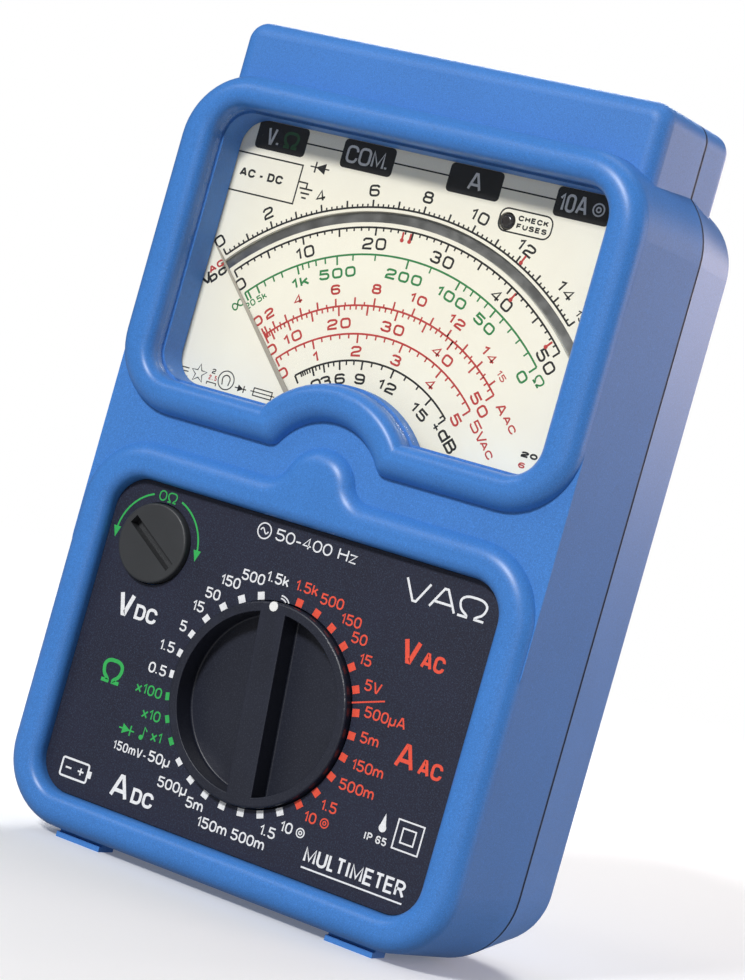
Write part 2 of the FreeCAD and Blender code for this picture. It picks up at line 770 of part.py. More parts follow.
# --------------------------------------------------------------------------
# Zero-ohm adjuster
# --------------------------------------------------------------------------
def build_zero_adjuster():
    """Slotted knob, shaft, seal and the potentiometer that it turns."""
    front = -cell("zero_proud")
    disc = rod(cell("zero_radius"), front, cell("zero_depth"), zero_x, zero_z)
    disc = rounded(disc, 0.5, at_plane(depth(front)))
    long_half = cell("zero_slot_length") / 2
    wide_half = cell("zero_slot_width") / 2
    slot = block(zero_x - long_half, zero_x + long_half, front - 1, front + cell("zero_slot_depth"),
                 zero_z - wide_half, zero_z + wide_half)
    slot = turned(slot, zero_x, zero_z, SIZES["zero_slot_angle"])
    node("zero_knob", cut(disc, slot, rod(cell("shaft_radius"), 1.0, 3.0, zero_x, zero_z)))
    node("zero_shaft", rod(cell("shaft_radius"), 1.0, 11.4, zero_x, zero_z))
    node("zero_seal", ring(3.59, 0.57, 3.1, zero_x, zero_z))
    node("zero_potentiometer", cut(rod(8.0, 10.0, cell("board_depth"), zero_x, zero_z),
                                   rod(cell("shaft_bore"), 9.0, 12.0, zero_x, zero_z)))


# --------------------------------------------------------------------------
# Dial and moving-coil movement
# --------------------------------------------------------------------------
def drawn_slab(curves, front, back):
    """Closed outline of free curves, given in X and Z, pushed between two depths."""
    sketch = add("Sketcher::SketchObject", "Drawn")
    place(sketch, 0, depth(front), 0, FACE_FORWARD)
    for curve in curves:
        sketch.addGeometry(curve)
    item = add("Part::Extrusion", "DrawnSlab")
    item.Base = sketch
    item.DirMode = "Normal"
    item.Solid = True
    item.LengthFwd = 0
    bind(item, "LengthRev", as_dim(back) - front)
    return item


def sector(inner, outer, front, back, start, end):
    """Part of a flat ring round the needle's pivot, between two angles from +X."""
    centre = Vector(0, pivot_z.value, 0)

    def arc(radius):
        circle = Part.Circle(centre, Vector(0, 0, 1), radius)
        return Part.ArcOfCircle(circle, math.radians(start), math.radians(end))
    inside, outside = arc(inner), arc(outer)
    edges = (inside, outside, Part.LineSegment(inside.StartPoint, outside.StartPoint),
             Part.LineSegment(inside.EndPoint, outside.EndPoint))
    return drawn_slab(edges, front, back)


def build_dial():
    """Dial plate with its mirror slot, and the mirror behind it."""
    front = cell("dial_depth")
    back = front + cell("dial_thickness")
    plate = slab(front, back, rounded_outline, -cell("dial_half_width"), cell("dial_half_width"),
                 cell("dial_bottom"), cell("dial_top"), 3.0)
    slot = sector(SIZES["mirror_inner"], SIZES["mirror_outer"], front - 1, back + 1, 42.5, 137.5)
    node("dial_plate", cut(plate, slot, rod(15.0, front - 1, back + 1, 0, pivot_z),
                           rod(1.75, front - 1, back + 1, *LAMP)))
    mirror = sector(SIZES["mirror_inner"] - 0.8, SIZES["mirror_outer"] + 0.8, back, back + 0.6,
                    41.5, 138.5)
    node("mirror_strip", mirror)


def build_chassis():
    """Plate that carries the dial and, in its tube, the movement."""
    front = 9.4
    plate = fuse(slab(front, 11.4, rounded_outline, -35.0, 35.0, 83.0, 155.0, 3.0),
                 rod(19.0, front, 26.0, 0, pivot_z))
    posts = bosses([(-33.0, 97.0), (33.0, 97.0), (-20.0, 121.0), (20.0, 121.0)], 1.5,
                   cell("dial_depth") + cell("dial_thickness"), front + 0.5)
    holes = [rod(cell("yoke_radius"), front - 1, 27.0, 0, pivot_z),
             rod(2.4, front - 1, 12.0, *LAMP),
             *bosses(CHASSIS_SCREWS, 1.3, front - 1, 12.0)]
    node("movement_chassis", cut(fuse(plate, *posts), *holes))
    screws = [fuse(rod(2.2, 11.4, 12.8, x, z), rod(0.95, 4.8, 12.0, x, z)) for x, z in CHASSIS_SCREWS]
    node("chassis_screws", group(*screws))


def build_movement():
    """Yoke, core magnet, bearing bridges, coil, needle and hairsprings."""
    start, end = 14.0, 26.0
    node("pole_yoke", cut(rod(cell("yoke_radius"), start, end, 0, pivot_z),
                          rod(cell("yoke_bore"), start - 1, end + 1, 0, pivot_z)))
    node("core_magnet", rod(cell("core_radius"), start, end, 0, pivot_z))
    spokes = []
    for low, high in ((5.9, 8.7), (-8.7, -5.9)):
        spoke = block(-1.5, 1.5, 18.5, 21.5, pivot_z + low, pivot_z + high)
        spokes.append(inside_bore(cut(spoke, rod(cell("core_radius"), 18, 22, 0, pivot_z))))
    node("core_spokes", group(*spokes))

    front_bar = cut(block(-12.0, 12.0, 2.0, 3.2, pivot_z - 2, pivot_z + 2), outside_circle(10.6))
    legs = [block(side * 9.6 - 0.8, side * 9.6 + 0.8, 3.0, start, pivot_z - 2, pivot_z + 2)
            for side in (-1, 1)]
    node("front_bridge", cut(fuse(front_bar, *legs), rod(1.2, 0, 5, 0, pivot_z)))
    rear_bar = block(-12.0, 12.0, 28.6, 29.8, pivot_z - 2, pivot_z + 2)
    rear_legs = [block(side * 11.2 - 0.8, side * 11.2 + 0.8, end, 29.0, pivot_z - 2, pivot_z + 2)
                 for side in (-1, 1)]
    node("rear_bridge", cut(fuse(rear_bar, *rear_legs), rod(1.2, 28, 31, 0, pivot_z)))
    jewels = [cut(rod(1.2, 1.4, 3.9, 0, pivot_z), rod(0.36, 3.2, 4.5, 0, pivot_z)),
              cut(rod(1.2, 27.9, 30.4, 0, pivot_z), rod(0.36, 27, 28.6, 0, pivot_z))]
    node("jewel_bearings", group(*jewels))

    coil = cut(block(-7.6, 7.6, 12.6, 27.4, pivot_z - 1.0, pivot_z + 1.0),
               block(-6.5, 6.5, 13.4, 26.6, pivot_z - 2, pivot_z + 2))
    rest = SIZES["needle_rest"]
    node("moving_coil", turned(coil, 0, pivot_z, rest - 90))
    pivots = [fuse(rod(0.7, 4.0, 12.6, 0, pivot_z), rod(0.3, 3.3, 4.2, 0, pivot_z),
                   rod(1.62, 10.3, 10.8, 0, pivot_z)),
              fuse(rod(0.7, 27.4, 27.8, 0, pivot_z), rod(0.3, 27.7, 28.5, 0, pivot_z),
                   rod(1.62, 27.4, 27.8, 0, pivot_z))]
    node("coil_pivots", group(*pivots))
    node("needle", build_needle(rest))
    node("balance_weight", turned(rod(1.5, 4.4, 5.6, 0, pivot_z - 8.0), 0, pivot_z, rest - 90))
    springs = [spiral(1.6, 4.6, 10.4, 10.7), spiral(1.6, 4.6, 27.42, 27.72)]
    node("hairsprings", group(*springs))


def outside_circle(radius):
    """Everything beyond a radius from the needle's pivot, as a cutting tool."""
    return cut(rod(30.0, 0, 6, 0, pivot_z), rod(radius, -1, 7, 0, pivot_z))


def inside_bore(item):
    """Trim a piece to the yoke's bore."""
    trimmed = add("Part::Common", "Trimmed")
    trimmed.Base = item
    trimmed.Tool = rod(cell("yoke_bore"), 10, 30, 0, pivot_z)
    return trimmed


def build_needle(rest):
    """Blade, hub and tail of the needle, turned to its resting angle."""
    tip = SIZES["needle_tip"]
    outline = [(-0.35, -8.0), (0.35, -8.0), (0.55, 0.0), (0.5, 20.0), (0.14, tip), (-0.14, tip),
               (-0.5, 20.0), (-0.55, 0.0)]
    points = [Vector(x, pivot_z.value + z, 0) for x, z in outline]
    edges = [Part.LineSegment(a, b) for a, b in zip(points, points[1:] + points[:1])]
    middle = cell("needle_depth")
    blade = drawn_slab(edges, middle - 0.2, middle + 0.2)
    whole = fuse(blade, rod(1.7, 4.5, 5.9, 0, pivot_z))
    whole = cut(whole, rod(0.7, 3.0, 7.0, 0, pivot_z), rod(1.5, 4.0, 6.0, 0, pivot_z - 8.0))
    return turned(whole, 0, pivot_z, rest - 90)


def spiral(start, end, front, back):
    """Flat hairspring of five turns."""
    turns, steps_per_turn, strip = 5, 16, 0.12
    level = depth(front).value
    inner, outer = [], []
    for step in range(turns * steps_per_turn + 1):
        angle = 2 * math.pi * step / steps_per_turn
        radius = start + (end - start) * step / (turns * steps_per_turn)
        for points, extra in ((inner, 0.0), (outer, strip)):
            points.append(Vector((radius + extra) * math.cos(angle), level,
                                 pivot_z.value + (radius + extra) * math.sin(angle)))
    edges = []
    for points in (inner, outer):
        curve = Part.BSplineCurve()
        curve.interpolate(points)
        edges.append(curve.toShape())
    edges.append(Part.makeLine(inner[0], outer[0]))
    edges.append(Part.makeLine(inner[-1], outer[-1]))
    face = Part.Face(Part.Wire(Part.__sortEdges__(edges)))
    item = add("Part::Feature", "Spiral")
    item.Shape = face.extrude(Vector(0, as_dim(back).value - as_dim(front).value, 0))
    return item


def build_fuse_lamp():
    """Fuse-check lamp behind its hole in the dial."""
    lamp = fuse(rod(1.5, 7.0, 12.2, *LAMP), rod(2.4, 9.8, 12.2, *LAMP))
    node("fuse_lamp", rounded(lamp, 0.9, at_plane(depth(7.0))))


# --------------------------------------------------------------------------
# Circuit board and what it carries
# --------------------------------------------------------------------------
def build_board():
    """Main board with room for the movement, and its parts on the rear side."""
    front = cell("board_depth")
    back = front + cell("board_thickness")
    side = cell("board_half_width")
    plate = slab(front, back, rounded_outline, -side, side, cell("board_bottom"), cell("board_top"), 2.0)
    cut_outs = [rod(20.0, front - 1, back + 1, 0, pivot_z), rod(2.06, front - 1, back + 1, 0, knob_z),
                *bosses(BOARD_SCREWS, 1.3, front - 1, back + 1),
                *[rod(4.2, front - 1, back + 1, x, z) for x, z in SCREW_PLACES]]
    node("main_board", cut(plate, *cut_outs))
    screws = [fuse(rod(2.2, back, 19.0, x, z), rod(0.95, 9.0, back + 0.5, x, z))
              for x, z in BOARD_SCREWS]
    node("board_screws", group(*screws))

    resistors = [block(x, x + 6.4, 17.6, 20.0, z, z + 2.4)
                 for x in (-34.0, -24.0, 22.0, 32.0 - 1.5) for z in (105.0, 111.0, 117.0, 123.0)]
    node("precision_resistors", group(*resistors))
    node("trimmers", group(*[fuse(block(x, x + 6.5, 17.6, 21.5, 112.0, 118.5),
                                  rod(1.8, 21.0, 22.2, x + 3.25, 115.25)) for x in (-9.0, 3.0)]))
    node("buzzer", cut(rod(9.0, 17.6, 22.0, 30.0, 58.0), rod(1.2, 21.0, 23.0, 30.0, 58.0)))
    legs = [block(x, x + 2.0, 17.6, 24.0, 130.0, 133.0) for x in (14.0, 26.0)]
    node("current_shunt", fuse(block(14.0, 28.0, 24.0, 25.2, 130.0, 133.0), *legs))


def build_fuses():
    """Two cartridge fuses in their clips."""
    tubes, caps, clips = [], [], []
    for x in (13.0, 27.0):
        tubes.append(post(2.9, 16.0, 38.0, x, 23.0))
        for low in (11.0, 38.0):
            caps.append(post(3.17, low, low + 5.0, x, 23.0))
            jaw = cut(block(x - 4.2, x + 4.2, 17.6, 25.0, low + 0.6, low + 4.4),
                      post(3.17, low - 1, low + 6, x, 23.0),
                      block(x - 2.2, x + 2.2, 24.0, 26.0, low, low + 5))
            clips.append(jaw)
    node("fuse_tubes", group(*tubes))
    node("fuse_caps", group(*caps))
    node("fuse_clips", group(*clips))


def build_batteries():
    """Tray with two AA cells and their end contacts."""
    left, right = -37.5, -4.5
    tray = cut(block(left, right, 19.2, 31.0, 6.0, 61.0),
               block(left + 1.2, -21.6, 20.6, 32.0, 7.2, 59.8),
               block(-20.4, right - 1.2, 20.6, 32.0, 7.2, 59.8))
    stands = bosses([(-30.0, 16.0), (-12.0, 16.0), (-30.0, 50.0), (-12.0, 50.0)], 1.5, 17.6, 19.5)
    node("battery_tray", fuse(tray, *stands))
    cells = []
    contacts = []
    for x in (-29.0, -13.0):
        can = rounded(post(7.1, 8.2, 57.5, x, 28.4), 0.6,
                      lambda edge: edge.BoundBox.ZLength < 0.01)
        cells.append(fuse(can, post(2.7, 57.0, 58.5, x, 28.4)))
        contacts.append(block(x - 4, x + 4, 23.0, 31.0, 58.5, 59.8))
        contacts.append(fuse(block(x - 4, x + 4, 23.0, 31.0, 7.2, 7.7),
                             post(2.0, 7.6, 8.2, x, 28.4)))
    node("battery_cells", group(*cells))
    node("battery_contacts", group(*contacts))


# --------------------------------------------------------------------------
# Terminals
# --------------------------------------------------------------------------
def build_sockets():
    """Four shrouded 4 mm sockets clamped between the shells."""
    shrouds, contacts = [], []
    top = cell("housing_top") - 0.3
    for x in SOCKETS:
        tube = cut(post(cell("socket_radius"), top - 22.0, top, x, parting),
                   post(6.1, top - 20.0, top + 1, x, parting))
        insulator = cut(post(3.7, top - 20.5, top - 1.0, x, parting),
                        post(3.0, top - 23.0, top + 1, x, parting))
        shrouds.append(cut(fuse(tube, insulator), post(3.0, top - 23.0, top + 1, x, parting)))
        barrel = cut(post(3.0, top - 23.5, top - 1.4, x, parting),
                     post(cell("socket_bore"), top - 21.5, top, x, parting))
        tail = fuse(block(x - 2.0, x + 2.0, 17.6, parting, top - 24.1, top - 23.3),
                    block(x - 2.0, x + 2.0, 17.6, 18.3, top - 30.0, top - 23.3))
        contacts.append(fuse(barrel, tail))
    node("socket_shrouds", group(*shrouds))
    node("socket_contacts", group(*contacts))


def check_and_export():
    """Stop on any failed object, then write one STEP file for each sub-part."""
    doc.recompute()
    for item in doc.Objects:
        if "Invalid" in item.State or "Error" in item.State:
            raise RuntimeError(f"{item.Name} ({item.Label}) failed: {item.State}")
    os.makedirs("parts", exist_ok=True)
    for label, item in NODES.items():
        shape = item.Shape
        if shape.isNull() or not shape.isValid() or not shape.Solids:
            raise RuntimeError(f"{label} has no valid solid")
        shape.exportStep(f"parts/{label}.step")
        box = shape.BoundBox
        print(f"{label:22s} solids {len(shape.Solids):3d}  volume {shape.Volume / 1000:8.3f} cm3  "
              f"x {box.XMin:7.2f} {box.XMax:7.2f}  y {box.YMin:7.2f} {box.YMax:7.2f}  "
              f"z {box.ZMin:7.2f} {box.ZMax:7.2f}")


build_front_shell()
build_rear_shell()
build_case_seal()
build_case_screws()
build_window_lens()
build_range_panel()
build_selector()
build_detent()
build_zero_adjuster()
build_dial()
build_chassis()
build_movement()
build_fuse_lamp()
build_board()
build_fuses()
build_batteries()
build_sockets()
check_and_export()
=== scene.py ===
"""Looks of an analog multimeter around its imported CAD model: the materials, the printing on the panel and
the dial, the light and the camera.

Everything printed is drawn in millimetres on the plane it lies on, x to the right and z up, and becomes a
thin closed solid of ink. Angles on the dial and round the selector are in degrees, counted from +x
anticlockwise as seen from the front.
"""

import json
import math

import bpy
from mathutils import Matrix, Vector


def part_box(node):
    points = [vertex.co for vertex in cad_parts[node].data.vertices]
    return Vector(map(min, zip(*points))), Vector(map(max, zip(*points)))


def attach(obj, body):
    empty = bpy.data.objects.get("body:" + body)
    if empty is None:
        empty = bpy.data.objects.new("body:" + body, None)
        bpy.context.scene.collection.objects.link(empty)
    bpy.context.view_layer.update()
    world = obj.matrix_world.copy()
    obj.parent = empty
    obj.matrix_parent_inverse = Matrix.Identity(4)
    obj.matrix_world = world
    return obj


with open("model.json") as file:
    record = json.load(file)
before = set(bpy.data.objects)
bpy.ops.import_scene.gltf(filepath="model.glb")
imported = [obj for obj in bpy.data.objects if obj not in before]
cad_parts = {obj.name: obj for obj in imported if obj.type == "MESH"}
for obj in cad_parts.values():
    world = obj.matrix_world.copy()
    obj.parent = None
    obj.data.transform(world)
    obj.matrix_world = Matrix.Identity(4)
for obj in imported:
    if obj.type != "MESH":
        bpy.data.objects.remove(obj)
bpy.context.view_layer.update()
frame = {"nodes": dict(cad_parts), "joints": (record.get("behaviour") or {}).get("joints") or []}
MM = 0.001

BLUE = (0.048, 0.192, 0.54)
BLACK_PANEL = (0.009, 0.01, 0.027)
KNOB_BLACK = (0.011, 0.013, 0.024)
PRINT_WHITE = (0.83, 0.84, 0.86)
PRINT_GREEN = (0.03, 0.42, 0.09)
PRINT_RED = (0.82, 0.085, 0.045)
DIAL_CREAM = (0.99, 0.94, 0.775)
DIAL_BLACK = (0.006, 0.006, 0.006)
DIAL_GREEN = (0.02, 0.24, 0.06)
DIAL_RED = (0.55, 0.045, 0.04)
DIAL_LETTER = (0.72, 0.73, 0.72)


# ---------------------------------------------------------------- materials

PLASTIC_IOR, COAT_ROUGHNESS = 1.46, 0.2
# outer edges turn pale over this range of pointiness, partly from wear and partly as a painted highlight
PALE_EDGE_FROM, PALE_EDGE_WHOLLY = 0.52, 0.60

class Look:
    """A procedural material around one Principled shader, in object space, with sizes in millimetres."""

    def __init__(self, name, rough, metallic=0.0, coat=0.0):
        self.material = bpy.data.materials.new(name)
        self.material.use_nodes = True
        self.tree = self.material.node_tree
        self.shader = self.tree.nodes["Principled BSDF"]
        self.shader.inputs["Metallic"].default_value = metallic
        self.shader.inputs["IOR"].default_value = PLASTIC_IOR
        self.shader.inputs["Coat Weight"].default_value = coat
        self.shader.inputs["Coat Roughness"].default_value = COAT_ROUGHNESS
        self.shader.inputs["Roughness"].default_value = rough
        self.place = self.node("TexCoord").outputs["Object"]

    def node(self, kind, **settings):
        made = self.tree.nodes.new("ShaderNode" + kind)
        for name, value in settings.items():
            setattr(made, name, value)
        return made

    def feed(self, socket, value):
        if hasattr(value, "is_linked"):
            self.tree.links.new(value, socket)
        else:
            socket.default_value = value

    def noise(self, size, detail=2.0, stretch=(1, 1, 1), harshness=0.5):
        """Noise whose lumps are about size mm across, longer along an axis whose stretch is below 1."""
        scaled = self.node("Mapping")
        self.feed(scaled.inputs["Vector"], self.place)
        scaled.inputs["Scale"].default_value = stretch
        made = self.node("TexNoise")
        self.feed(made.inputs["Vector"], scaled.outputs["Vector"])
        made.inputs["Scale"].default_value = 1 / (size * MM)
        made.inputs["Detail"].default_value = detail
        made.inputs["Roughness"].default_value = harshness
        return made.outputs["Fac"]

    def ranged(self, value, low, high, out_low=0.0, out_high=1.0):
        made = self.node("MapRange")
        for name, number in zip(("Value", "From Min", "From Max", "To Min", "To Max"),
                                (value, low, high, out_low, out_high)):
            self.feed(made.inputs[name], number)
        return made.outputs["Result"]

    def maths(self, operation, first, second):
        made = self.node("Math", operation=operation)
        self.feed(made.inputs[0], first)
        self.feed(made.inputs[1], second)
        return made.outputs["Value"]

    def blend(self, share, first, second):
        """A colour from first at share 0 to second at share 1."""
        made = self.node("Mix", data_type="RGBA")
        self.feed(made.inputs["Factor"], share)
        inputs = [s for s in made.inputs if s.type == "RGBA"]
        for socket, colour in zip(inputs, (first, second)):
            self.feed(socket, colour if hasattr(colour, "is_linked") else (*colour, 1))
        return [s for s in made.outputs if s.type == "RGBA"][0]

    def edges(self):
        """1 on outer edges, which turn paler partly from wear and partly as a painted highlight."""
        return self.ranged(self.node("NewGeometry").outputs["Pointiness"], PALE_EDGE_FROM, PALE_EDGE_WHOLLY)

    def colour(self, value):
        self.feed(self.shader.inputs["Base Color"], value if hasattr(value, "is_linked") else (*value, 1))

    def rough(self, value):
        self.feed(self.shader.inputs["Roughness"], value)

    def bump(self, height, depth):
        """Relief of depth mm where height goes from 0 to 1."""
        made = self.node("Bump")
        made.inputs["Distance"].default_value = depth * MM
        made.inputs["Strength"].default_value = 1.0
        self.feed(made.inputs["Height"], height)
        self.feed(self.shader.inputs["Normal"], made.outputs["Normal"])


def tint(colour, factor):
    return tuple(min(1.0, part * factor) for part in colour)


def moulded(name, colour, rough, mottle=0.06, grain=0.25, depth=0.006, wear_and_highlight=0.25, fleck=None, **settings):
    """Moulded plastic or paint: a slow mottle, a fine grain, paler edges that are partly wear and partly a
    painted highlight, and, where given, flecks.
    """
    look = Look(name, rough, **settings)
    slow, fine = look.noise(9.0, 3.0), look.noise(grain, 3.0)
    base = look.blend(look.ranged(slow, 0.3, 0.7), tint(colour, 1 - mottle), tint(colour, 1 + mottle))
    if fleck:
        base = look.blend(look.ranged(look.noise(grain * 1.3, 2.0), 0.52, 0.68), base, fleck)
    speck = look.blend(look.ranged(fine, 0.35, 0.75, 0.0, mottle * 2), base, tint(colour, 1.6))
    # paler outer edges: partly wear, partly a painted highlight
    look.colour(look.blend(look.maths("MULTIPLY", look.edges(), wear_and_highlight), speck, tint(colour, 1.5)))
    look.rough(look.ranged(fine, 0.3, 0.7, rough - 0.05, rough + 0.07))
    look.bump(fine, depth)
    return look.material


def metal(name, colour, rough, size=0.4, stretch=(1, 1, 1), depth=0.002):
    """Bare or plated metal with fine working marks."""
    look = Look(name, rough, metallic=1.0)
    marks, slow = look.noise(size, 4.0, stretch), look.noise(6.0)
    look.colour(look.blend(look.ranged(slow, 0.3, 0.7), tint(colour, 0.86), tint(colour, 1.08)))
    look.rough(look.ranged(marks, 0.3, 0.7, rough * 0.75, rough * 1.35))
    look.bump(marks, depth)
    return look.material


# Depths on the case: the middle of the parting line, how far its painted shade stays full and where it
# has faded out, each way, and where the raised frames end and the housing begins.
SEAM_Y = sum(corner.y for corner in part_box("case_seal")) / 2 / MM
SEAM_SHADE_FULL, SEAM_SHADE_GONE = 0.4, 0.6
FRAME_ENDS, HOUSING_BEGINS = -21.9, -21.3


def blue_case(name):
    """Blue plastic: spark-eroded grain on the housing, a finer satin on the frames, edges paled by wear and a
    painted highlight, painted shade along the parting line.
    """
    look = Look(name, 0.42)
    fine, coarse, slow = look.noise(0.16, 2.0), look.noise(0.42, 3.0, harshness=0.6), look.noise(14.0, 3.0)
    depth = look.node("SeparateXYZ")
    look.feed(depth.inputs[0], look.place)
    on_housing = look.ranged(depth.outputs["Y"], FRAME_ENDS * MM, HOUSING_BEGINS * MM)
    base = look.blend(look.ranged(slow, 0.3, 0.7), tint(BLUE, 0.96), tint(BLUE, 1.04))
    speckled = look.blend(look.ranged(fine, 0.48, 0.72, 0.0, 0.6), base, tint(BLUE, 1.7))
    pitted = look.blend(look.ranged(coarse, 0.5, 0.3, 0.0, 0.4), speckled, tint(BLUE, 0.7))
    # paler outer edges: partly wear, partly a painted highlight
    wear_and_highlight = look.blend(look.maths("MULTIPLY", look.edges(), 0.2), pitted, tint(BLUE, 1.4))
    # painted shade along the parting line: the blue darkens within 0.4 mm of the seam, fading out by 0.6 mm
    from_seam = look.maths("ABSOLUTE", look.maths("SUBTRACT", depth.outputs["Y"], SEAM_Y * MM), 0.0)
    seam_shade = look.ranged(from_seam, SEAM_SHADE_FULL * MM, SEAM_SHADE_GONE * MM, 0.85, 0.0)
    look.colour(look.blend(seam_shade, wear_and_highlight, tint(BLUE, 0.1)))
    look.rough(look.ranged(on_housing, 0, 1, 0.36, 0.5))
    relief = look.maths("MULTIPLY", coarse, look.ranged(on_housing, 0, 1, 0.25, 1.0))
    look.bump(look.maths("ADD", relief, look.maths("MULTIPLY", fine, 0.35)), 0.02)
    return look.material


def clear_lens(name):
    """Clear plastic: it shows what is behind it and mirrors a little more towards its edges."""
    look = Look(name, 0.05, metallic=1.0)
    smear = look.noise(11.0, 3.0)
    look.colour(look.blend(look.ranged(smear, 0.3, 0.7), (0.93, 0.96, 1.0), (1.0, 1.0, 1.0)))
    look.rough(look.ranged(smear, 0.3, 0.7, 0.03, 0.09))
    grazing = look.maths("POWER", look.node("LayerWeight").outputs["Facing"], 5.0)
    look.feed(look.shader.inputs["Alpha"], look.ranged(grazing, 0.0, 1.0, 0.03, 0.75))
    look.bump(look.noise(30.0), 0.01)
    return look.material


def mirror_band(name):
    """The dull mirror strip behind the dial's slot."""
    look = Look(name, 0.16, metallic=1.0)
    marks = look.noise(3.0, 4.0)
    look.colour(look.blend(look.ranged(marks, 0.3, 0.7), (0.3, 0.3, 0.29), (0.35, 0.35, 0.34)))
    look.rough(look.ranged(marks, 0.3, 0.7, 0.3, 0.42))
    look.bump(look.noise(4.0), 0.002)
    return look.material


def ink(name, colour, rough=0.5):
    """Screen-printed ink: slightly uneven, with the weave of the screen in it."""
    look = Look(name, rough)
    film = look.noise(0.35, 3.0)
    look.colour(look.blend(look.ranged(film, 0.3, 0.7), tint(colour, 0.9), tint(colour, 1.06)))
    look.rough(look.ranged(film, 0.3, 0.7, rough - 0.08, rough + 0.08))
    look.bump(film, 0.004)
    return look.material


LOOKS = {
    "case_blue": blue_case("case_blue_look"),
    "seal_rubber": moulded("seal_rubber_look", (0.012, 0.013, 0.018), 0.75, wear_and_highlight=0.1),
    "screw_steel": metal("screw_steel_look", (0.6, 0.6, 0.62), 0.32),
    "lens_clear": clear_lens("lens_clear_look"),
    "panel_black": moulded("panel_black_look", BLACK_PANEL, 0.5, mottle=0.14, grain=0.2, depth=0.02, wear_and_highlight=0.0,
                           fleck=(0.024, 0.04, 0.075)),
    # the knob's edges turn much paler: partly wear, partly a painted highlight on its rims
    "knob_dark": moulded("knob_dark_look", KNOB_BLACK, 0.4, mottle=0.12, grain=0.2, depth=0.014, wear_and_highlight=0.8,
                         fleck=(0.026, 0.03, 0.046)),
    "mark_white": ink("mark_white_look", (0.86, 0.86, 0.84)),
    "shaft_plastic": moulded("shaft_plastic_look", (0.7, 0.68, 0.62), 0.45),
    "contact_brass": metal("contact_brass_look", (0.78, 0.56, 0.26), 0.3),
    "spring_steel": metal("spring_steel_look", (0.55, 0.55, 0.56), 0.28),
    "dial_cream": moulded("dial_cream_look", DIAL_CREAM, 0.55, mottle=0.02, depth=0.002, wear_and_highlight=0.0),
    "mirror_silver": mirror_band("mirror_silver_look"),
    "chassis_grey": moulded("chassis_grey_look", (0.13, 0.135, 0.145), 0.5),
    "yoke_iron": metal("yoke_iron_look", (0.42, 0.42, 0.43), 0.4, stretch=(1, 6, 1)),
    "magnet": metal("magnet_look", (0.18, 0.18, 0.2), 0.5),
    "jewel": moulded("jewel_look", (0.35, 0.02, 0.05), 0.15, coat=0.5),
    "coil_copper": metal("coil_copper_look", (0.7, 0.33, 0.16), 0.35, size=0.1, stretch=(4, 1, 1)),
    "needle_paint": moulded("needle_paint_look", (0.4, 0.36, 0.29), 0.45, grain=0.1, depth=0.001),
    "lamp_red": moulded("lamp_red_look", (0.028, 0.024, 0.022), 0.2, coat=0.6),
    "board_green": moulded("board_green_look", (0.02, 0.16, 0.07), 0.35),
    "resistor_blue": moulded("resistor_blue_look", (0.12, 0.3, 0.48), 0.25, coat=0.4),
    "part_black": moulded("part_black_look", (0.02, 0.02, 0.022), 0.45),
    "fuse_ceramic": moulded("fuse_ceramic_look", (0.8, 0.78, 0.72), 0.2, coat=0.4),
    "plated": metal("plated_look", (0.72, 0.72, 0.73), 0.22),
    "cell_jacket": moulded("cell_jacket_look", (0.05, 0.06, 0.07), 0.3, coat=0.3),
}

for piece in frame["nodes"].values():
    for holder in piece.material_slots:
        holder.material = LOOKS[holder.material.name.split(".")[0]]
# the zero knob's edges turn much paler: partly wear, partly a painted highlight on its rim
frame["nodes"]["zero_knob"].material_slots[0].material = moulded(
    "zero_knob_look", (0.03, 0.032, 0.035), 0.45, mottle=0.12, grain=0.25, depth=0.014, wear_and_highlight=0.8)


# ---------------------------------------------------------------- printing

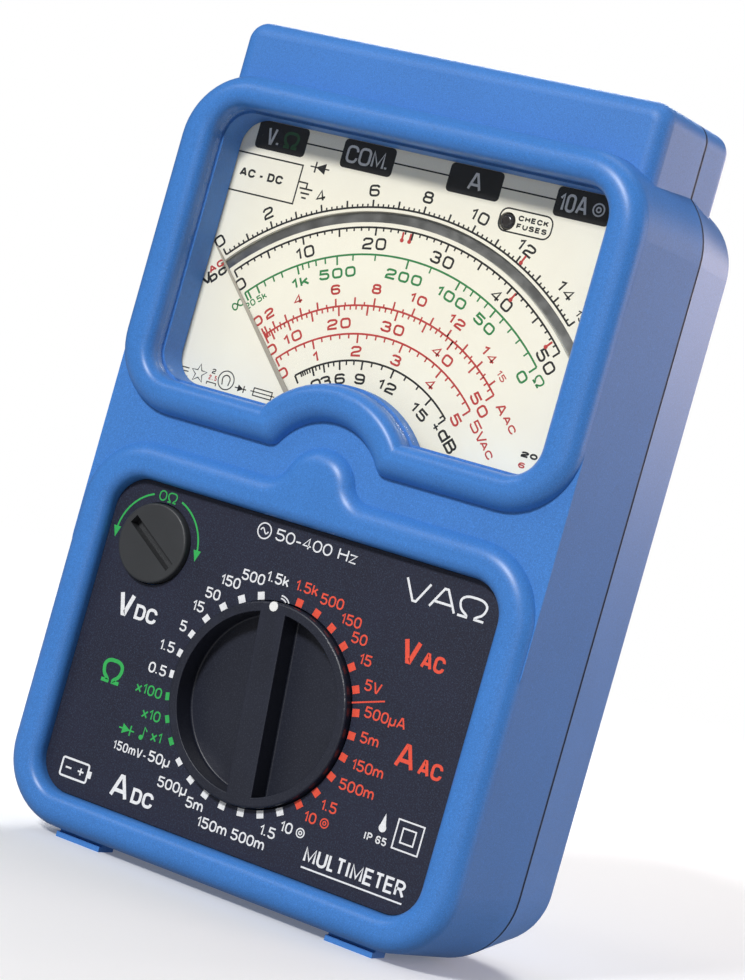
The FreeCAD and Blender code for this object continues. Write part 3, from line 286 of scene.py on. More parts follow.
# Strokes of each character on a cell one unit high, x from 0 to 1 across its width. "!" keeps a corner sharp,
# "@" at the end closes a stroke, "/" starts another. The number is the width against that of a digit. "W"
# draws an ohm sign and "u" a micro sign.
GLYPHS = {
    "0": (1.0, "0,0 0,1 1,1 1,0 @"),
    "1": (0.45, "0,.72 .9,1! .9,0"),
    "2": (1.0, "0,.74 0,1 1,1 1,.54 0,.34 0,0! 1,0"),
    "3": (1.0, "0,.8 0,1 .95,1 .95,.53 .35,.53 / .35,.53 1,.53 1,0 0,0 0,.22"),
    "4": (1.0, "1,.27 0,.27! .7,1! .7,0"),
    "5": (1.0, "1,1 .08,1! .05,.6! 1,.6 1,0 0,0 0,.2"),
    "6": (1.0, "1,.8 1,1 0,1 0,0 1,0 1,.56 0,.56"),
    "7": (1.0, "0,1 1,1! .4,0"),
    "8": (1.0, ".06,.53 .06,1 .94,1 .94,.53 @ / 0,0 0,.53 1,.53 1,0 @"),
    "9": (1.0, "0,.2 0,0 1,0 1,1 0,1 0,.44 1,.44"),
    ".": (0.2, "0,0 0,.13"),
    "-": (0.6, "0,.36 1,.36"),
    "+": (1.0, "0,.42 1,.42 / .5,.8 .5,.04"),
    "A": (1.25, "0,0 .43,1! .57,1! 1,0 / .17,.3 .83,.3"),
    "B": (1.05, ".6,.53 .95,.53 .95,1 0,1! 0,0! 1,0 1,.53 0,.53"),
    "C": (1.2, "1,.7 1,1 0,1 0,0 1,0 1,.3"),
    "D": (1.15, "0,0! 0,1! 1,1 1,0 @"),
    "E": (1.0, "1,1 0,1! 0,0! 1,0 / 0,.52 .9,.52"),
    "F": (0.95, "1,1 0,1! 0,0 / 0,.5 .88,.5"),
    "H": (1.1, "0,0 0,1 / 1,0 1,1 / 0,.52 1,.52"),
    "I": (0.2, ".5,0 .5,1"),
    "K": (1.1, "0,0 0,1 / .95,1 .05,.4 / .35,.6 1,0"),
    "L": (0.66, "0,1 0,0! 1,0"),
    "M": (1.35, "0,0 0,1! .5,.12! 1,1! 1,0"),
    "O": (1.25, "0,0 0,1 1,1 1,0 @"),
    "P": (1.05, "0,0 0,1! 1,1 1,.46 0,.46"),
    "R": (1.1, "0,0 0,1! .95,1 .95,.48 0,.48 / .5,.48 1,0"),
    "S": (1.1, ".97,.78 .97,1 .03,1 .03,.53 1,.53 1,0 0,0 0,.22"),
    "T": (0.95, "0,1 1,1 / .5,1 .5,0"),
    "U": (1.1, "0,1 0,0 1,0 1,1"),
    "V": (1.2, "0,1 .43,0! .57,0! 1,1"),
    "d": (0.95, "1,1 1,0! 0,0 0,.7 1,.7"),
    "k": (0.85, "0,0 0,1 / .9,.7 .05,.28 / .4,.45 1,0"),
    "m": (1.5, "0,0 0,.72 / 0,.4 0,.72 .5,.72 .5,0 / .5,.4 .5,.72 1,.72 1,0"),
    "u": (0.9, "0,-.3 0,.72 / 0,.3 0,0 1,0 1,.72 / 1,.1 1,0"),
    "x": (0.9, "0,.7 1,0 / 0,0 1,.7"),
    "z": (0.85, "0,.7 1,.7! 0,0! 1,0"),
    "W": (1.3, "0,0 .34,0! .34,.1 0,.35 0,1 1,1 1,.35 .66,.1 .66,0! 1,0"),
}
CORNER_STEPS = 5
WAVE_STEPS = 12
WORD_SPACE = 0.7
LETTER_GAP = 0.26
SHARPEST_MITRE = 0.3
SAME_POINT = 1e-4
INK_PROUD, INK_SUNK = 0.02, 0.02
LIFT_STEP, LIFTS = 0.0005, 19
INK_TOP = INK_PROUD + LIFT_STEP * LIFTS


def rounded(points, sharp, closed, radius):
    """points with a circular arc at each corner that isn't sharp."""
    count, out = len(points), []
    for i, corner in enumerate(points):
        if (not closed and i in (0, count - 1)) or sharp[i]:
            out.append(corner)
            continue
        before, after = points[i - 1], points[(i + 1) % count]
        legs = [math.dist(corner, other) for other in (before, after)]
        shares = []
        for other, leg, at_end in ((before, legs[0], not closed and i == 1),
                                   (after, legs[1], not closed and i == count - 2)):
            shares.append(min(radius, leg * (1.0 if at_end else 0.5)) / leg)
        start = [c + (b - c) * shares[0] for c, b in zip(corner, before)]
        end = [c + (a - c) * shares[1] for c, a in zip(corner, after)]
        for step in range(CORNER_STEPS + 1):
            t = step / CORNER_STEPS
            weights = ((1 - t) ** 2, 2 * t * (1 - t) * math.sqrt(0.5), t * t)
            total = sum(weights)
            out.append(tuple(sum(w * p[axis] for w, p in zip(weights, (start, corner, end))) / total
                             for axis in (0, 1)))
    return out


def glyph_strokes(character, width, height, radius):
    """(points, closed) of each stroke of a character on a cell of that size."""
    strokes = []
    for path in GLYPHS[character][1].split("/"):
        words = path.split()
        closed = words[-1] == "@"
        words = words[:-1] if closed else words
        points = [tuple(float(part) * size for part, size in zip(word.strip("!").split(","), (width, height)))
                  for word in words]
        strokes.append((rounded(points, [word.endswith("!") for word in words], closed, radius), closed))
    return strokes


class Ink:
    """Everything of one colour that is printed on one plane, as one mesh of thin closed solids."""

    def __init__(self, name, plane, colour, rough=0.5):
        self.name, self.plane = name, plane
        self.material = ink(name + "_ink", colour, rough)
        self.vertices, self.faces, self.solids = [], [], 0

    def top(self):
        """Where the next solid's face lies. Neighbours differ a little, so that no two faces coincide."""
        self.solids += 1
        return self.plane - INK_PROUD - LIFT_STEP * (self.solids % LIFTS)

    def corner(self, point, y):
        self.vertices.append((point[0] * MM, y * MM, point[1] * MM))
        return len(self.vertices) - 1

    def fill(self, outline):
        """A solid area; its outline runs anticlockwise."""
        face = self.top()
        front = [self.corner(p, face) for p in outline]
        back = [self.corner(p, self.plane + INK_SUNK) for p in outline]
        self.faces.append(front)
        self.faces.append(back[::-1])
        for i in range(len(outline)):
            j = (i + 1) % len(outline)
            self.faces.append((front[i], back[i], back[j], front[j]))

    def stroke(self, points, width, closed=False):
        """A line of that width through the points, mitred at its corners."""
        points = [p for i, p in enumerate(points)
                  if (i == 0 and not closed) or math.dist(p, points[i - 1]) > SAME_POINT]
        count, sides = len(points), ([], [])
        for i, (x, z) in enumerate(points):
            ahead = points[(i + 1) % count] if closed or i < count - 1 else None
            behind = points[i - 1] if closed or i > 0 else None
            normals = []
            for a, b in ((behind, (x, z)), ((x, z), ahead)):
                if a is not None and b is not None:
                    run = math.dist(a, b)
                    normals.append(((a[1] - b[1]) / run, (b[0] - a[0]) / run))
            nx, nz = (sum(n[axis] for n in normals) / len(normals) for axis in (0, 1))
            squared = max(nx * nx + nz * nz, SHARPEST_MITRE)
            for side, sign in zip(sides, (1, -1)):
                reach = sign * width / 2 / squared
                side.append((x + nx * reach, z + nz * reach))
        left, right = sides
        rows = [[self.corner(p, y) for p in side] for y in (self.top(), self.plane + INK_SUNK)
                for side in (left, right)]
        lf, rf, lb, rb = rows
        for i in range(count if closed else count - 1):
            j = (i + 1) % count
            self.faces += [(rf[i], rf[j], lf[j], lf[i]), (rb[j], rb[i], lb[i], lb[j]),
                           (lf[i], lf[j], lb[j], lb[i]), (rf[j], rf[i], rb[i], rb[j])]
        if not closed:
            self.faces += [(rf[0], lf[0], lb[0], rb[0]), (lf[-1], rf[-1], rb[-1], lb[-1])]

    def write(self, text, at, height, digit, gap, weight, radius, turn=0.0, centred=False):
        """text from at along its baseline; turn is in degrees."""
        total = text_length(text, digit, gap)
        swing = math.radians(turn)
        across = -total / 2 if centred else 0.0
        rise = -height / 2 if centred else 0.0
        for character in text:
            if character != " ":
                width = GLYPHS[character][0] * digit
                for points, closed in glyph_strokes(character, width, height, radius):
                    placed = [(at[0] + (across + u) * math.cos(swing) - (rise + v) * math.sin(swing),
                               at[1] + (across + u) * math.sin(swing) + (rise + v) * math.cos(swing))
                              for u, v in points]
                    self.stroke(placed, weight, closed)
                across += width + gap
            else:
                across += digit * WORD_SPACE

    def fit(self, text, start, end, base, height=2.13, weight=0.3, roundness=0.5):
        """text between two x places, as the panel's lettering is spaced; heights are over the strokes."""
        inner = end - start - weight
        gap = LETTER_GAP + weight
        gaps = (len(text) - 1) * gap
        digit = (inner - gaps) / (text_length(text, 1.0, gap) - gaps)
        corner = (start + weight / 2, base + weight / 2)
        self.write(text, corner, height - weight, digit, gap, weight, digit * roundness)

    def done(self, body="case"):
        mesh = bpy.data.meshes.new(self.name)
        mesh.from_pydata(self.vertices, [], self.faces)
        mesh.materials.append(self.material)
        piece = bpy.data.objects.new(self.name, mesh)
        bpy.context.scene.collection.objects.link(piece)
        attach(piece, body)


def text_length(text, digit, gap):
    widths = [digit * (WORD_SPACE if c == " " else GLYPHS[c][0]) for c in text]
    return sum(widths) + gap * (len(text) - 1)


def round_line(centre, radius, first=0.0, last=360.0, steps=48):
    """Points along an arc, without the last one when it is a whole circle."""
    whole = abs(last - first) >= 360
    return [(centre[0] + radius * math.cos(math.radians(first + (last - first) * i / steps)),
             centre[1] + radius * math.sin(math.radians(first + (last - first) * i / steps)))
            for i in range(steps if whole else steps + 1)]


def box_line(x0, x1, z0, z1, radius=0.0):
    corners = [(x0, z0), (x1, z0), (x1, z1), (x0, z1)]
    return rounded(corners, [False] * 4, True, radius) if radius else corners


def polar(centre, radius, angle):
    turn = math.radians(angle)
    return (centre[0] + radius * math.cos(turn), centre[1] + radius * math.sin(turn))


# ---------------------------------------------------------------- panel legends

selector_axis, zero_axis, needle_axis = [next(j for j in frame["joints"] if j["name"] == name)["pos_m"]
                                         for name in ("selector_turn", "zero_turn", "needle_swing")]
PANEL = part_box("range_panel")[0].y / MM
KNOB_Z = selector_axis[2] / MM
white = Ink("panel_legend_white", PANEL, PRINT_WHITE)
green = Ink("panel_legend_green", PANEL, PRINT_GREEN)
red = Ink("panel_legend_red", PANEL, PRINT_RED)


def on_face(x, z):
    """A place on the panel or the dial, from one counted from the selector's axis."""
    return (x, z + KNOB_Z)


def wave(x, z, length, swing):
    """One period of a sine, from x to the right."""
    return [on_face(x + length * i / WAVE_STEPS, z + swing * math.sin(2 * math.pi * i / WAVE_STEPS))
            for i in range(WAVE_STEPS + 1)]


def draw_box(colour, x0, x1, z0, z1, width, radius=0.0):
    """The outline of a box, counted from the selector's axis."""
    colour.stroke([on_face(*corner) for corner in box_line(x0, x1, z0, z1, radius)], width, closed=True)


# Ranges round the selector: what is printed, and the angle and radius of its middle.
RANGE_HEIGHT, RANGE_DIGIT, RANGE_GAP, RANGE_WEIGHT = 2.13, 1.25, 0.56, 0.32
VOLTS_DC = (("1.5k", 99, 24.0), ("500", 112, 24.4), ("150", 124, 24.7), ("50", 134.5, 24.1),
            ("15", 144, 23.9), ("5", 156, 23.4), ("1.5", 168.5, 24.2), ("0.5", 180, 24.4))
OHMS = (("x100", 190, 25.4), ("x10", 201, 24.6), ("x1", 211.5, 24.0))
AMPS_DC = (("50u", 221.5, 24.7), ("500u", 235.5, 24.7), ("5m", 250, 23.6), ("150m", 263, 25.1),
           ("500m", 282, 25.5), ("1.5", 292, 24.0), ("10", 302, 23.9))
VOLTS_AC = (("1.5k", 83, 23.9), ("500", 68.5, 24.4), ("150", 55.5, 24.7), ("50", 46.5, 24.3),
            ("15", 36.5, 23.9), ("5V", 24, 24.4))
AMPS_AC = (("500uA", 11, 27.0), ("5m", 1, 24.6), ("150m", 349.5, 26.3), ("500m", 340, 26.4),
           ("1.5", 325.5, 24.5), ("10", 315, 24.0))
for colour, ranges in ((white, VOLTS_DC + AMPS_DC), (green, OHMS), (red, VOLTS_AC + AMPS_AC)):
    for text, angle, radius in ranges:
        colour.write(text, on_face(*polar((0, 0), radius, angle)), RANGE_HEIGHT - RANGE_WEIGHT, RANGE_DIGIT,
                     RANGE_GAP, RANGE_WEIGHT, RANGE_DIGIT * 0.5, centred=True)
white.fit("150mV-", -29.5, -21.5, -17.5 + KNOB_Z, height=1.83, weight=0.27)

# the big function letters: (ink, text, start, end, baseline, height, weight)
for colour, text, start, end, base, height, weight in (
        (white, "V", -37.4, -33.7, 7.7, 4.8, 0.9), (white, "DC", -33.0, -27.8, 7.8, 3.0, 0.6),
        (green, "W", -36.8, -31.8, -5.7, 4.9, 0.75),
        (white, "A", -27.4, -23.2, -26.4, 4.8, 0.75), (white, "DC", -22.3, -17.2, -26.2, 3.0, 0.6),
        (red, "V", 26.0, 29.8, 16.0, 4.8, 0.9), (red, "AC", 30.5, 35.5, 16.0, 3.1, 0.6),
        (red, "A", 30.8, 34.9, -2.8, 4.8, 0.75), (red, "AC", 35.9, 41.0, -2.8, 3.1, 0.6),
        (white, "VAW", 22.8, 40.8, 27.2, 4.3, 0.45), (white, "IP 65", 28.9, 34.3, -17.3, 1.5, 0.26),
        (white, "50-400 Hz", -6.9, 12.2, 30.6, 2.3, 0.3)):
    colour.fit(text, start, end, base + KNOB_Z, height, weight)

# the bold name of what it is, underlined
white.fit("MULTIMETER", 17.9, 40.2, -25.2 + KNOB_Z, 3.1, 0.5)
white.stroke([on_face(17.9, -26.2), on_face(40.2, -26.2)], 0.32)

# the wave in its circle beside the frequency range
white.stroke(round_line(on_face(-9.6, 31.7), 1.5), 0.26, closed=True)
white.stroke(wave(-10.5, 31.7, 1.8, 0.5), 0.24)

# range squares round the selector, one for each detent except the parking place
DETENT, SQUARES, FIRST_SQUARE, PARKED = 12.0, 30, 84.0, 96.0
OHM_SQUARES, LAST_WHITE = (192.0, 204.0, 216.0), 306.0
SQUARE_RADIUS, SQUARE_HALF = 20.7, 0.75
for step in range(SQUARES):
    angle = FIRST_SQUARE + DETENT * step
    if angle == PARKED:
        continue
    if angle in OHM_SQUARES:
        colour = green
    else:
        colour = white if PARKED < angle < LAST_WHITE else red
    out = (math.cos(math.radians(angle)), math.sin(math.radians(angle)))
    across = (-out[1], out[0])
    colour.fill([on_face(*(SQUARE_RADIUS * out[axis] + SQUARE_HALF * (i * out[axis] + j * across[axis])
                         for axis in (0, 1))) for i, j in ((-1, -1), (1, -1), (1, 1), (-1, 1))])

# two arcs beside the selector's dot, from where they clear the knob
dot_low, dot_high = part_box("selector_dot")
dot = ((dot_low.x + dot_high.x) / 2 / MM, (dot_low.z + dot_high.z) / 2 / MM)
for radius, knob_edge in ((1.75, 46), (2.3, 34)):
    white.stroke(round_line(dot, radius, knob_edge, 92, 12), 0.26)

# the line between the volts and the amps
red.stroke([on_face(18.83, 5.9), on_face(25.5, 8.07)], 0.3)

# the fused 10 A marks: a ring with a dot in it
for colour, centre in ((white, (15.83, -20.33)), (red, (20.2, -17.1))):
    colour.stroke(round_line(on_face(*centre), 0.84), 0.24, closed=True)
    colour.stroke(round_line(on_face(*centre), 0.33), 0.22, closed=True)

# continuity: diode and note
green.stroke([on_face(-29.3, -13.1), on_face(-25.7, -13.1)], 0.28)
green.fill([on_face(-28.5, -14.1), on_face(-26.7, -13.1), on_face(-28.5, -12.1)])
green.stroke([on_face(-26.6, -14.1), on_face(-26.6, -12.1)], 0.3)
green.fill(round_line(on_face(-23.9, -13.6), 0.5, steps=16))
green.stroke([on_face(-23.5, -13.6), on_face(-23.5, -11.5), on_face(-22.8, -12.2)], 0.26)

# splash proof: a drop; double insulated: a square in a square
white.fill([on_face(32.17 + 0.8 * x, -14.2 + 0.8 * z) for x, z in
            [(math.sin(a), -math.cos(a)) for a in [math.radians(-130 + 20 * i) for i in range(14)]]]
           + [on_face(32.17, -11.43)])
draw_box(white, 35.05, 40.58, -17.02, -11.55, 0.3)
draw_box(white, 36.42, 39.18, -15.62, -12.92, 0.3)

# battery fitted: a cell outline with plus and minus
draw_box(white, -39.8, -33.4, -25.8, -22.2, 0.4, 0.4)
white.fill([on_face(-33.2, -24.7), on_face(-32.5, -24.7), on_face(-32.5, -23.3), on_face(-33.2, -23.3)])
white.stroke([on_face(-38.8, -24.0), on_face(-37.4, -24.0)], 0.34)
white.stroke([on_face(-35.8, -24.0), on_face(-34.4, -24.0)], 0.34)
white.stroke([on_face(-35.1, -24.7), on_face(-35.1, -23.3)], 0.34)

# the zero adjuster's two curved arrows
ZERO = (zero_axis[0] / MM, zero_axis[2] / MM)
for first, last in ((110.0, 174.0), (70.0, 6.0)):
    arc = round_line(ZERO, 9.75, first, last, 28)
    green.stroke(arc, 0.36)
    tip_x, tip_z = arc[-1]
    green.fill([(tip_x - 0.85, tip_z + 0.1), (tip_x, tip_z - 2.1), (tip_x + 0.85, tip_z + 0.1)])
green.fit("0W", -34.9, -30.6, 31.4 + KNOB_Z, 2.1, 0.26)

for colour in (white, green, red):
    colour.done()


# ---------------------------------------------------------------- dial scales

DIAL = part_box("dial_plate")[0].y / MM
PIVOT = (needle_axis[0] / MM, needle_axis[2] / MM)
REST, SWEEP = 135.4, 90.4
VOLTS_REST, DEGREES_PER_VOLT = 135.5, 5.8
MIDDLE_OHMS = 207.0
FULL_DECIBELS, FULL_SHARE = 15, 0.845
DECIBEL_ENDS = (130.7, 47.8)
black = Ink("dial_scales_black", DIAL, DIAL_BLACK, 0.55)
leaf = Ink("dial_scales_green", DIAL, DIAL_GREEN, 0.55)
rose = Ink("dial_scales_red", DIAL, DIAL_RED, 0.55)
letters = Ink("dial_socket_letters", DIAL - INK_TOP, DIAL_LETTER, 0.5)
LINE, FINE_LINE, NUMERAL = 0.38, 0.32, 0.42
VOLTS_LINE, DC_LINE, OHMS_LINE, AC_LINE, AC_5_LINE, DECIBELS_LINE = 56.05, 52.1, 46.8, 36.85, 31.3, 26.1


def volts_15(value):
    return VOLTS_REST - DEGREES_PER_VOLT * value


def linear_50(value):
    return REST - SWEEP * value / 50


def ohms(value):
    return REST - SWEEP / (1 + value / MIDDLE_OHMS)


def rectified(full, bend, sweep=SWEEP):
    """The scale of a moving coil behind a rectifier, crowded near zero."""
    def angle(value):
        share = (math.hypot(value, bend) - bend) / (math.hypot(full, bend) - bend)
        return REST - sweep * share
    return angle


def decibels(value):
    return REST - SWEEP * FULL_SHARE * 10 ** ((value - FULL_DECIBELS) / 20)


def ticks(colour, angles, line, reach, width=LINE):
    """Marks from a scale's line, outwards where reach is positive and inwards where it is negative."""
    inner, outer = sorted((line, line + reach))
    for angle in angles:
        colour.stroke([polar(PIVOT, inner, angle), polar(PIVOT, outer, angle)], width)


def scale_line(colour, radius, first, last):
    colour.stroke(round_line(PIVOT, radius, first, last, 90), LINE)


def numerals(colour, labels, scale, radius, height=2.35, digit=2.3, gap=0.6, weight=NUMERAL):
    for value, text in labels:
        angle = scale(value)
        colour.write(text, polar(PIVOT, radius, angle), height - weight, digit - weight, gap + weight, weight,
                     0.55, turn=angle - 90, centred=True)


def every(step, last):
    return [step * i for i in range(int(round(last / step)) + 1)]


def labels_of(values):
    return [(value, f"{value:g}") for value in values]


# DC volts, 0 to 15, outside the mirror
scale_line(black, VOLTS_LINE, volts_15(0), volts_15(15))
ticks(black, [volts_15(v) for v in every(0.2, 15)], VOLTS_LINE, 0.65, FINE_LINE)
ticks(black, [volts_15(v) for v in every(1, 15)], VOLTS_LINE, 1.45)
numerals(black, labels_of(every(2, 14)), volts_15, 59.3)
numerals(black, [(15, "15")], volts_15, 58.9, 1.5, 1.5, 0.3, 0.26)

# DC, 0 to 50, inside the mirror
scale_line(black, DC_LINE, linear_50(0), linear_50(50))
ticks(black, [linear_50(v) for v in every(1, 50)], DC_LINE, -0.7, FINE_LINE)
ticks(black, [linear_50(v) for v in every(5, 50)], DC_LINE, -1.6)
numerals(black, labels_of(every(10, 50)), linear_50, 48.9)

# ohms
scale_line(leaf, OHMS_LINE, REST, ohms(0))
FINE_OHMS = (10, 20, 30, 40, 60, 70, 80, 90, 150, 300, 400, 600, 700, 800, 900, 1500, 2000, 3000)
ticks(leaf, [ohms(v) for v in FINE_OHMS], OHMS_LINE, -1.2, FINE_LINE)
ticks(leaf, [REST] + [ohms(v) for v in (0, 50, 100, 200, 500, 1000, 5000, 20000)], OHMS_LINE, -1.8)
numerals(leaf, [(1000, "1k")] + labels_of((500, 200, 100, 50, 0)), ohms, 43.4, 2.06)
for text, place, turn in (("20", (-31.4, 73.1), 47.0), ("5k", (-29.3, 75.0), 43.0)):
    leaf.write(text, (place[0], place[1] + KNOB_Z), 1.1, 0.85, 0.45, 0.24, 0.3, turn=turn, centred=True)

# AC, 0 to 15 above the line and 0 to 50 below it
ac_50, ac_15, ac_5 = rectified(50, 10.6), rectified(15, 3.18, 87.0), rectified(5, 0.15)
scale_line(rose, AC_LINE, ac_50(0), ac_50(50))
ticks(rose, [ac_15(v) for v in every(0.5, 15)], AC_LINE, 0.65, FINE_LINE)
ticks(rose, [ac_15(v) for v in every(1, 15)], AC_LINE, 1.55)
ticks(rose, [ac_50(v) for v in every(1, 50)], AC_LINE, -0.85, FINE_LINE)
ticks(rose, [ac_50(v) for v in every(5, 50)], AC_LINE, -1.95)
numerals(rose, labels_of(every(2, 14)), ac_15, 40.2, 2.0, 2.1)
numerals(rose, [(15, "15")], ac_15, 39.9, 1.3, 1.3, 0.3, 0.22)
numerals(rose, labels_of(every(10, 50)), ac_50, 33.4, 2.1)

# AC, 0 to 5
scale_line(rose, AC_5_LINE, ac_5(0), ac_5(5))
ticks(rose, [ac_5(v) for v in every(0.2, 5)], AC_5_LINE, -0.9, FINE_LINE)
ticks(rose, [ac_5(v) for v in every(1, 5)], AC_5_LINE, -1.8)
numerals(rose, labels_of(every(1, 5)), ac_5, 27.9, 2.1)

# decibels
scale_line(black, DECIBELS_LINE, *DECIBEL_ENDS)
ticks(black, [decibels(v) for v in range(-5, 17)], DECIBELS_LINE, -0.9, FINE_LINE)
ticks(black, [*DECIBEL_ENDS] + [decibels(v) for v in (0, 3, 6, 9, 12, 15)], DECIBELS_LINE, -1.75)
numerals(black, labels_of((0, 3, 6, 9, 12, 15)), decibels, 22.6, 2.1)

# the calibration marks in red
for radius, angles in ((50.9, (92.5, 90.6, 61.5, 47.8)), (57.3, (65.0,))):
    for angle in angles:
        rose.stroke([polar(PIVOT, radius - 0.7, angle), polar(PIVOT, radius + 0.9, angle)], 0.42)
        rose.fill(round_line(polar(PIVOT, radius - 0.7, angle), 0.42, steps=12))


# units beside the scales: (ink, text, place, turn, height, digit width, line weight)
for colour, text, place, turn, height, digit, weight in (
        (leaf, "W", (34.3, 72.8), -42.0, 2.0, 1.5, 0.34),
        (rose, "A", (28.4, 66.0), -45.0, 2.0, 1.5, 0.34),
        (rose, "AC", (30.9, 63.6), -45.0, 1.4, 1.2, 0.3), (rose, "5", (24.2, 61.6), -45.0, 2.1, 2.0, 0.34),
        (rose, "V", (25.9, 59.9), -45.0, 2.0, 1.5, 0.34), (rose, "AC", (27.7, 57.9), -45.0, 1.4, 1.2, 0.3),
        (black, "V", (-43.0, 75.9), 44.0, 2.3, 1.7, 0.5), (rose, "AC", (-41.5, 78.7), 44.0, 1.4, 1.1, 0.36),
        (black, "DC", (-40.6, 77.2), 44.0, 1.5, 1.3, 0.44), (black, "+", (16.1, 59.6), -44.0, 1.7, 1.4, 0.34),
        (black, "dB", (19.2, 57.6), -44.0, 2.4, 1.9, 0.45)):
    colour.write(text, on_face(*place), height - weight, digit, 0.3 + weight, weight, 0.5, turn=turn,
                 centred=True)

# infinity at the resting end of the ohms scale
KNOT_STEPS, KNOT_LENGTH, KNOT_HEIGHT, KNOT_TURN = 40, 1.25, 1.9, math.radians(48.5)
knot = []
for step in range(KNOT_STEPS):
    a = 2 * math.pi * step / KNOT_STEPS
    u, v = (size * math.cos(a) / (1 + math.sin(a) ** 2) for size in (KNOT_LENGTH, KNOT_HEIGHT * math.sin(a)))
    knot.append(on_face(-34.2 + u * math.cos(KNOT_TURN) - v * math.sin(KNOT_TURN),
                        72.4 + u * math.sin(KNOT_TURN) + v * math.cos(KNOT_TURN)))
leaf.stroke(knot, 0.3, closed=True)

# socket names in black boxes, joined by a line
BOX_LOW, BOX_HIGH, JOINING_LINE, LETTERS_LOW = 103.4, 109.1, 106.35, 104.5
SOCKET_BOXES = ((-40.6, -28.8), (-20.4, -8.5), (3.9, 15.65), (27.4, 39.3))
for (x0, x1), next_box in zip(SOCKET_BOXES, SOCKET_BOXES[1:] + (None,)):
    black.fill([on_face(*corner) for corner in box_line(x0, x1, BOX_LOW, BOX_HIGH, 0.9)])
    if next_box:
        black.stroke([on_face(x1, JOINING_LINE), on_face(next_box[0], JOINING_LINE)], 0.3)
for text, x0, x1 in (("V.", -38.2, -35.0), ("COM.", -19.4, -9.5), ("A", 8.4, 11.4), ("10A", 28.2, 34.3)):
    letters.fit(text, x0, x1, LETTERS_LOW + KNOB_Z, 3.5, 0.5, roundness=0.45)
leaf_letters = Ink("dial_socket_ohm", DIAL - INK_TOP, (0.015, 0.1, 0.035), 0.5)
leaf_letters.fit("W", -34.3, -30.6, LETTERS_LOW + KNOB_Z, 3.4, 0.6)
letters.stroke(round_line(on_face(36.6, 106.2), 1.15), 0.3, closed=True)
letters.stroke(round_line(on_face(36.6, 106.2), 0.45), 0.28, closed=True)

# the box of the terminals' kind of current, its earth sign and the diode sign
draw_box(black, -44.4, -28.3, 94.2, 102.0, 0.3)
black.fit("AC - DC", -42.2, -30.6, 97.3 + KNOB_Z, 1.7, 0.42)
black.stroke([on_face(-28.3, 98.75), on_face(-26.2, 98.75), on_face(-26.2, 97.6)], 0.3)
for half, z in ((1.5, 97.6), (1.0, 96.7), (0.55, 95.8)):
    black.stroke([on_face(-26.2 - half, z), on_face(-26.2 + half, z)], 0.34)
black.stroke([on_face(-26.6, 102.2), on_face(-22.2, 102.2)], 0.26)
black.fill([on_face(-25.3, 102.2), on_face(-23.1, 101.1), on_face(-23.1, 103.3)])
black.stroke([on_face(-25.4, 101.1), on_face(-25.4, 103.3)], 0.34)

# the lamp's outline and what it says
draw_box(black, 16.95, 28.25, 98.5, 102.9, 0.3, 1.6)
for text, base in (("CHECK", 100.95), ("FUSES", 99.4)):
    black.fit(text, 20.9, 27.4, base + KNOB_Z, 1.05, 0.28)

# signs in the bottom corner: kind of current, test voltage, accuracy, moving coil, rectifier and fuse
black.stroke([on_face(-43.3, 57.1), on_face(-41.1, 57.1)], 0.22)
black.stroke(wave(-43.3, 56.2, 2.2, 0.45), 0.22)
black.stroke([on_face(-43.3, 57.8), on_face(-41.1, 57.8)], 0.22)
star = [polar((-38.6, 57.3), 1.9 if i % 2 == 0 else 0.8, 90 + 36 * i) for i in range(10)]
black.stroke([on_face(*p) for p in star], 0.2, closed=True)
black.fit("2", -35.7, -34.8, 58.0 + KNOB_Z, 1.0, 0.2)
rose.fit("2.5", -36.1, -34.2, 56.7 + KNOB_Z, 1.0, 0.2)
black.stroke([on_face(-36.3, 55.7), on_face(-36.3, 56.2), on_face(-34.1, 56.2), on_face(-34.1, 55.7)], 0.2)
black.stroke(round_line(on_face(-32.0, 57.4), 1.85), 0.22, closed=True)
black.stroke([on_face(-32.7, 56.4)] + [on_face(*p) for p in round_line((-32.0, 57.5), 0.9, 200, -20, 16)]
             + [on_face(-31.3, 56.4)], 0.24)
black.stroke([on_face(-29.6, 56.6), on_face(-26.9, 56.6)], 0.22)
black.fill([on_face(-28.9, 55.9), on_face(-27.6, 56.6), on_face(-28.9, 57.3)])
black.stroke([on_face(-27.5, 55.9), on_face(-27.5, 57.3)], 0.24)
draw_box(black, -25.2, -20.9, 56.0, 57.5, 0.22)
black.stroke([on_face(-25.9, 56.75), on_face(-20.2, 56.75)], 0.2)
black.fit("20", 34.9, 38.4, 58.5 + KNOB_Z, 1.1, 0.34)
rose.fit("6", 34.9, 36.3, 56.4 + KNOB_Z, 1.1, 0.26)

for colour in (black, leaf, rose, letters, leaf_letters):
    colour.done()


# ---------------------------------------------------------------- floor, light and camera


def pale_floor(name, clear_from, clear_at):
    """A pale matt floor that fades into the white room. What the object mirrors of it is darker."""
    look = Look(name, 0.6)
    pale = look.blend(look.noise(60.0, 3.0), (0.9, 0.9, 0.905), (0.94, 0.94, 0.945))
    look.colour(look.blend(look.node("LightPath").outputs["Is Camera Ray"], (0.22, 0.22, 0.22), pale))
    look.shader.inputs["Emission Color"].default_value = (1, 1, 1, 1)
    look.shader.inputs["Emission Strength"].default_value = 0.12
    look.bump(look.noise(2.0), 0.01)
    away = look.node("VectorMath", operation="LENGTH")
    look.feed(away.inputs[0], look.place)
    look.feed(look.shader.inputs["Alpha"], look.ranged(away.outputs["Value"], clear_from, clear_at, 1.0, 0.0))
    return look.material


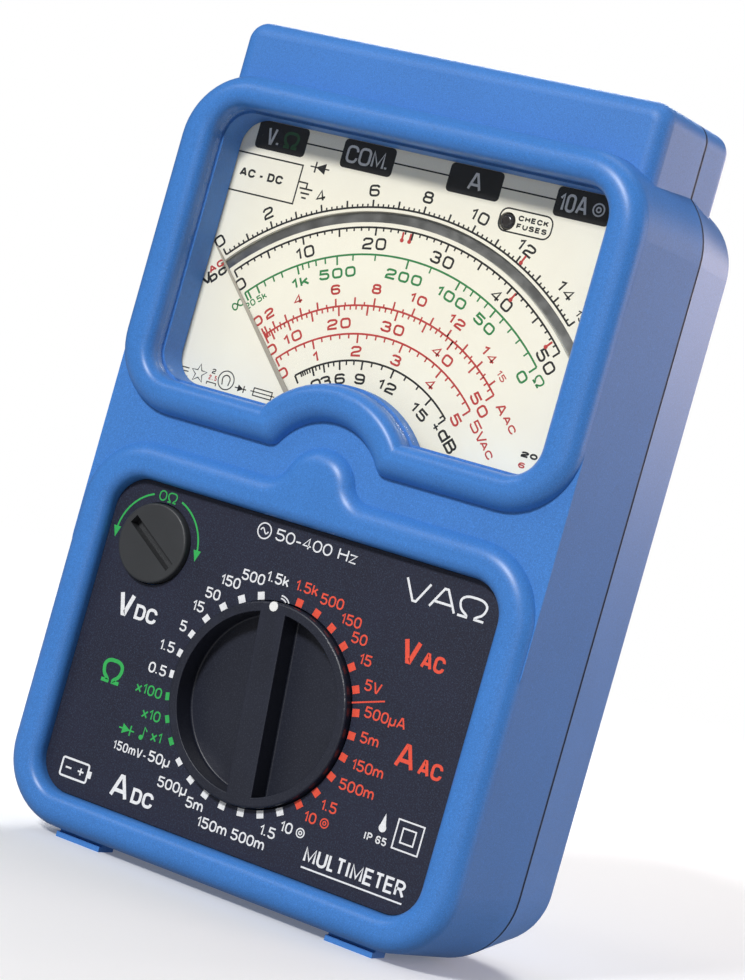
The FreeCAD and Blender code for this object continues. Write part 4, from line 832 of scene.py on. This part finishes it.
FLOOR, FADE_FROM, FADE_TO = 1.6, 0.3, 0.9
floor_mesh = bpy.data.meshes.new("floor")
floor_mesh.from_pydata([(*p, 0.0) for p in round_line((0, 0), FLOOR, steps=64)], [], [list(range(64))])
floor_mesh.materials.append(pale_floor("floor_look", FADE_FROM, FADE_TO))
floor = bpy.data.objects.new("floor", floor_mesh)
bpy.context.scene.collection.objects.link(floor)

AIM = (0.0, -0.01, 0.085)


def softbox(name, place, size, power, colour=(1, 1, 1)):
    lamp = bpy.data.lights.new(name, "AREA")
    lamp.shape, lamp.size, lamp.energy, lamp.color = "DISK", size, power, colour
    holder = bpy.data.objects.new(name, lamp)
    bpy.context.scene.collection.objects.link(holder)
    holder.location = place
    holder.rotation_euler = (Vector(place) - Vector(AIM)).to_track_quat("Z", "Y").to_euler()


softbox("key_light", (-0.15, -2.6, 1.65), 0.5, 75.0)
softbox("left_light", (-1.0, -0.9, 1.0), 0.5, 2.5)
softbox("front_light", (0.42, -0.8, 0.05), 0.4, 0.6)
softbox("side_light", (1.05, 0.6, 0.3), 0.9, 6.5, (1.0, 0.82, 0.8))
softbox("top_light", (0.0, 0.2, 1.3), 0.8, 2.0)
softbox("rear_side_light", (0.28, 1.35, 0.35), 0.45, 5.0, (1.0, 0.84, 0.8))
softbox("back_light", (-0.6, 1.1, 0.8), 0.6, 9.0)

world = bpy.data.worlds.new("white_room")
bpy.context.scene.world = world
world.use_nodes = True
nodes, links = world.node_tree.nodes, world.node_tree.links
seen, fill = nodes["Background"], nodes.new("ShaderNodeBackground")
seen.inputs["Color"].default_value = (1, 1, 1, 1)
fill.inputs["Color"].default_value = (0.94, 0.97, 1, 1)
fill.inputs["Strength"].default_value = 0.13
path, mix = nodes.new("ShaderNodeLightPath"), nodes.new("ShaderNodeMixShader")
links.new(path.outputs["Is Camera Ray"], mix.inputs[0])
links.new(fill.outputs[0], mix.inputs[1])
links.new(seen.outputs[0], mix.inputs[2])
links.new(mix.outputs[0], nodes["World Output"].inputs["Surface"])
bpy.context.scene.view_settings.view_transform = "Standard"

camera_data = bpy.data.cameras.new("camera")
camera_data.sensor_width = 36.0
camera_data.lens = 105.75
camera = bpy.data.objects.new("camera", camera_data)
bpy.context.scene.collection.objects.link(camera)
camera.location = (0.27568, -0.48989, 0.09155)
camera.rotation_euler = [math.radians(angle) for angle in (89.006, -15.804, 29.716)]
bpy.context.scene.camera = camera
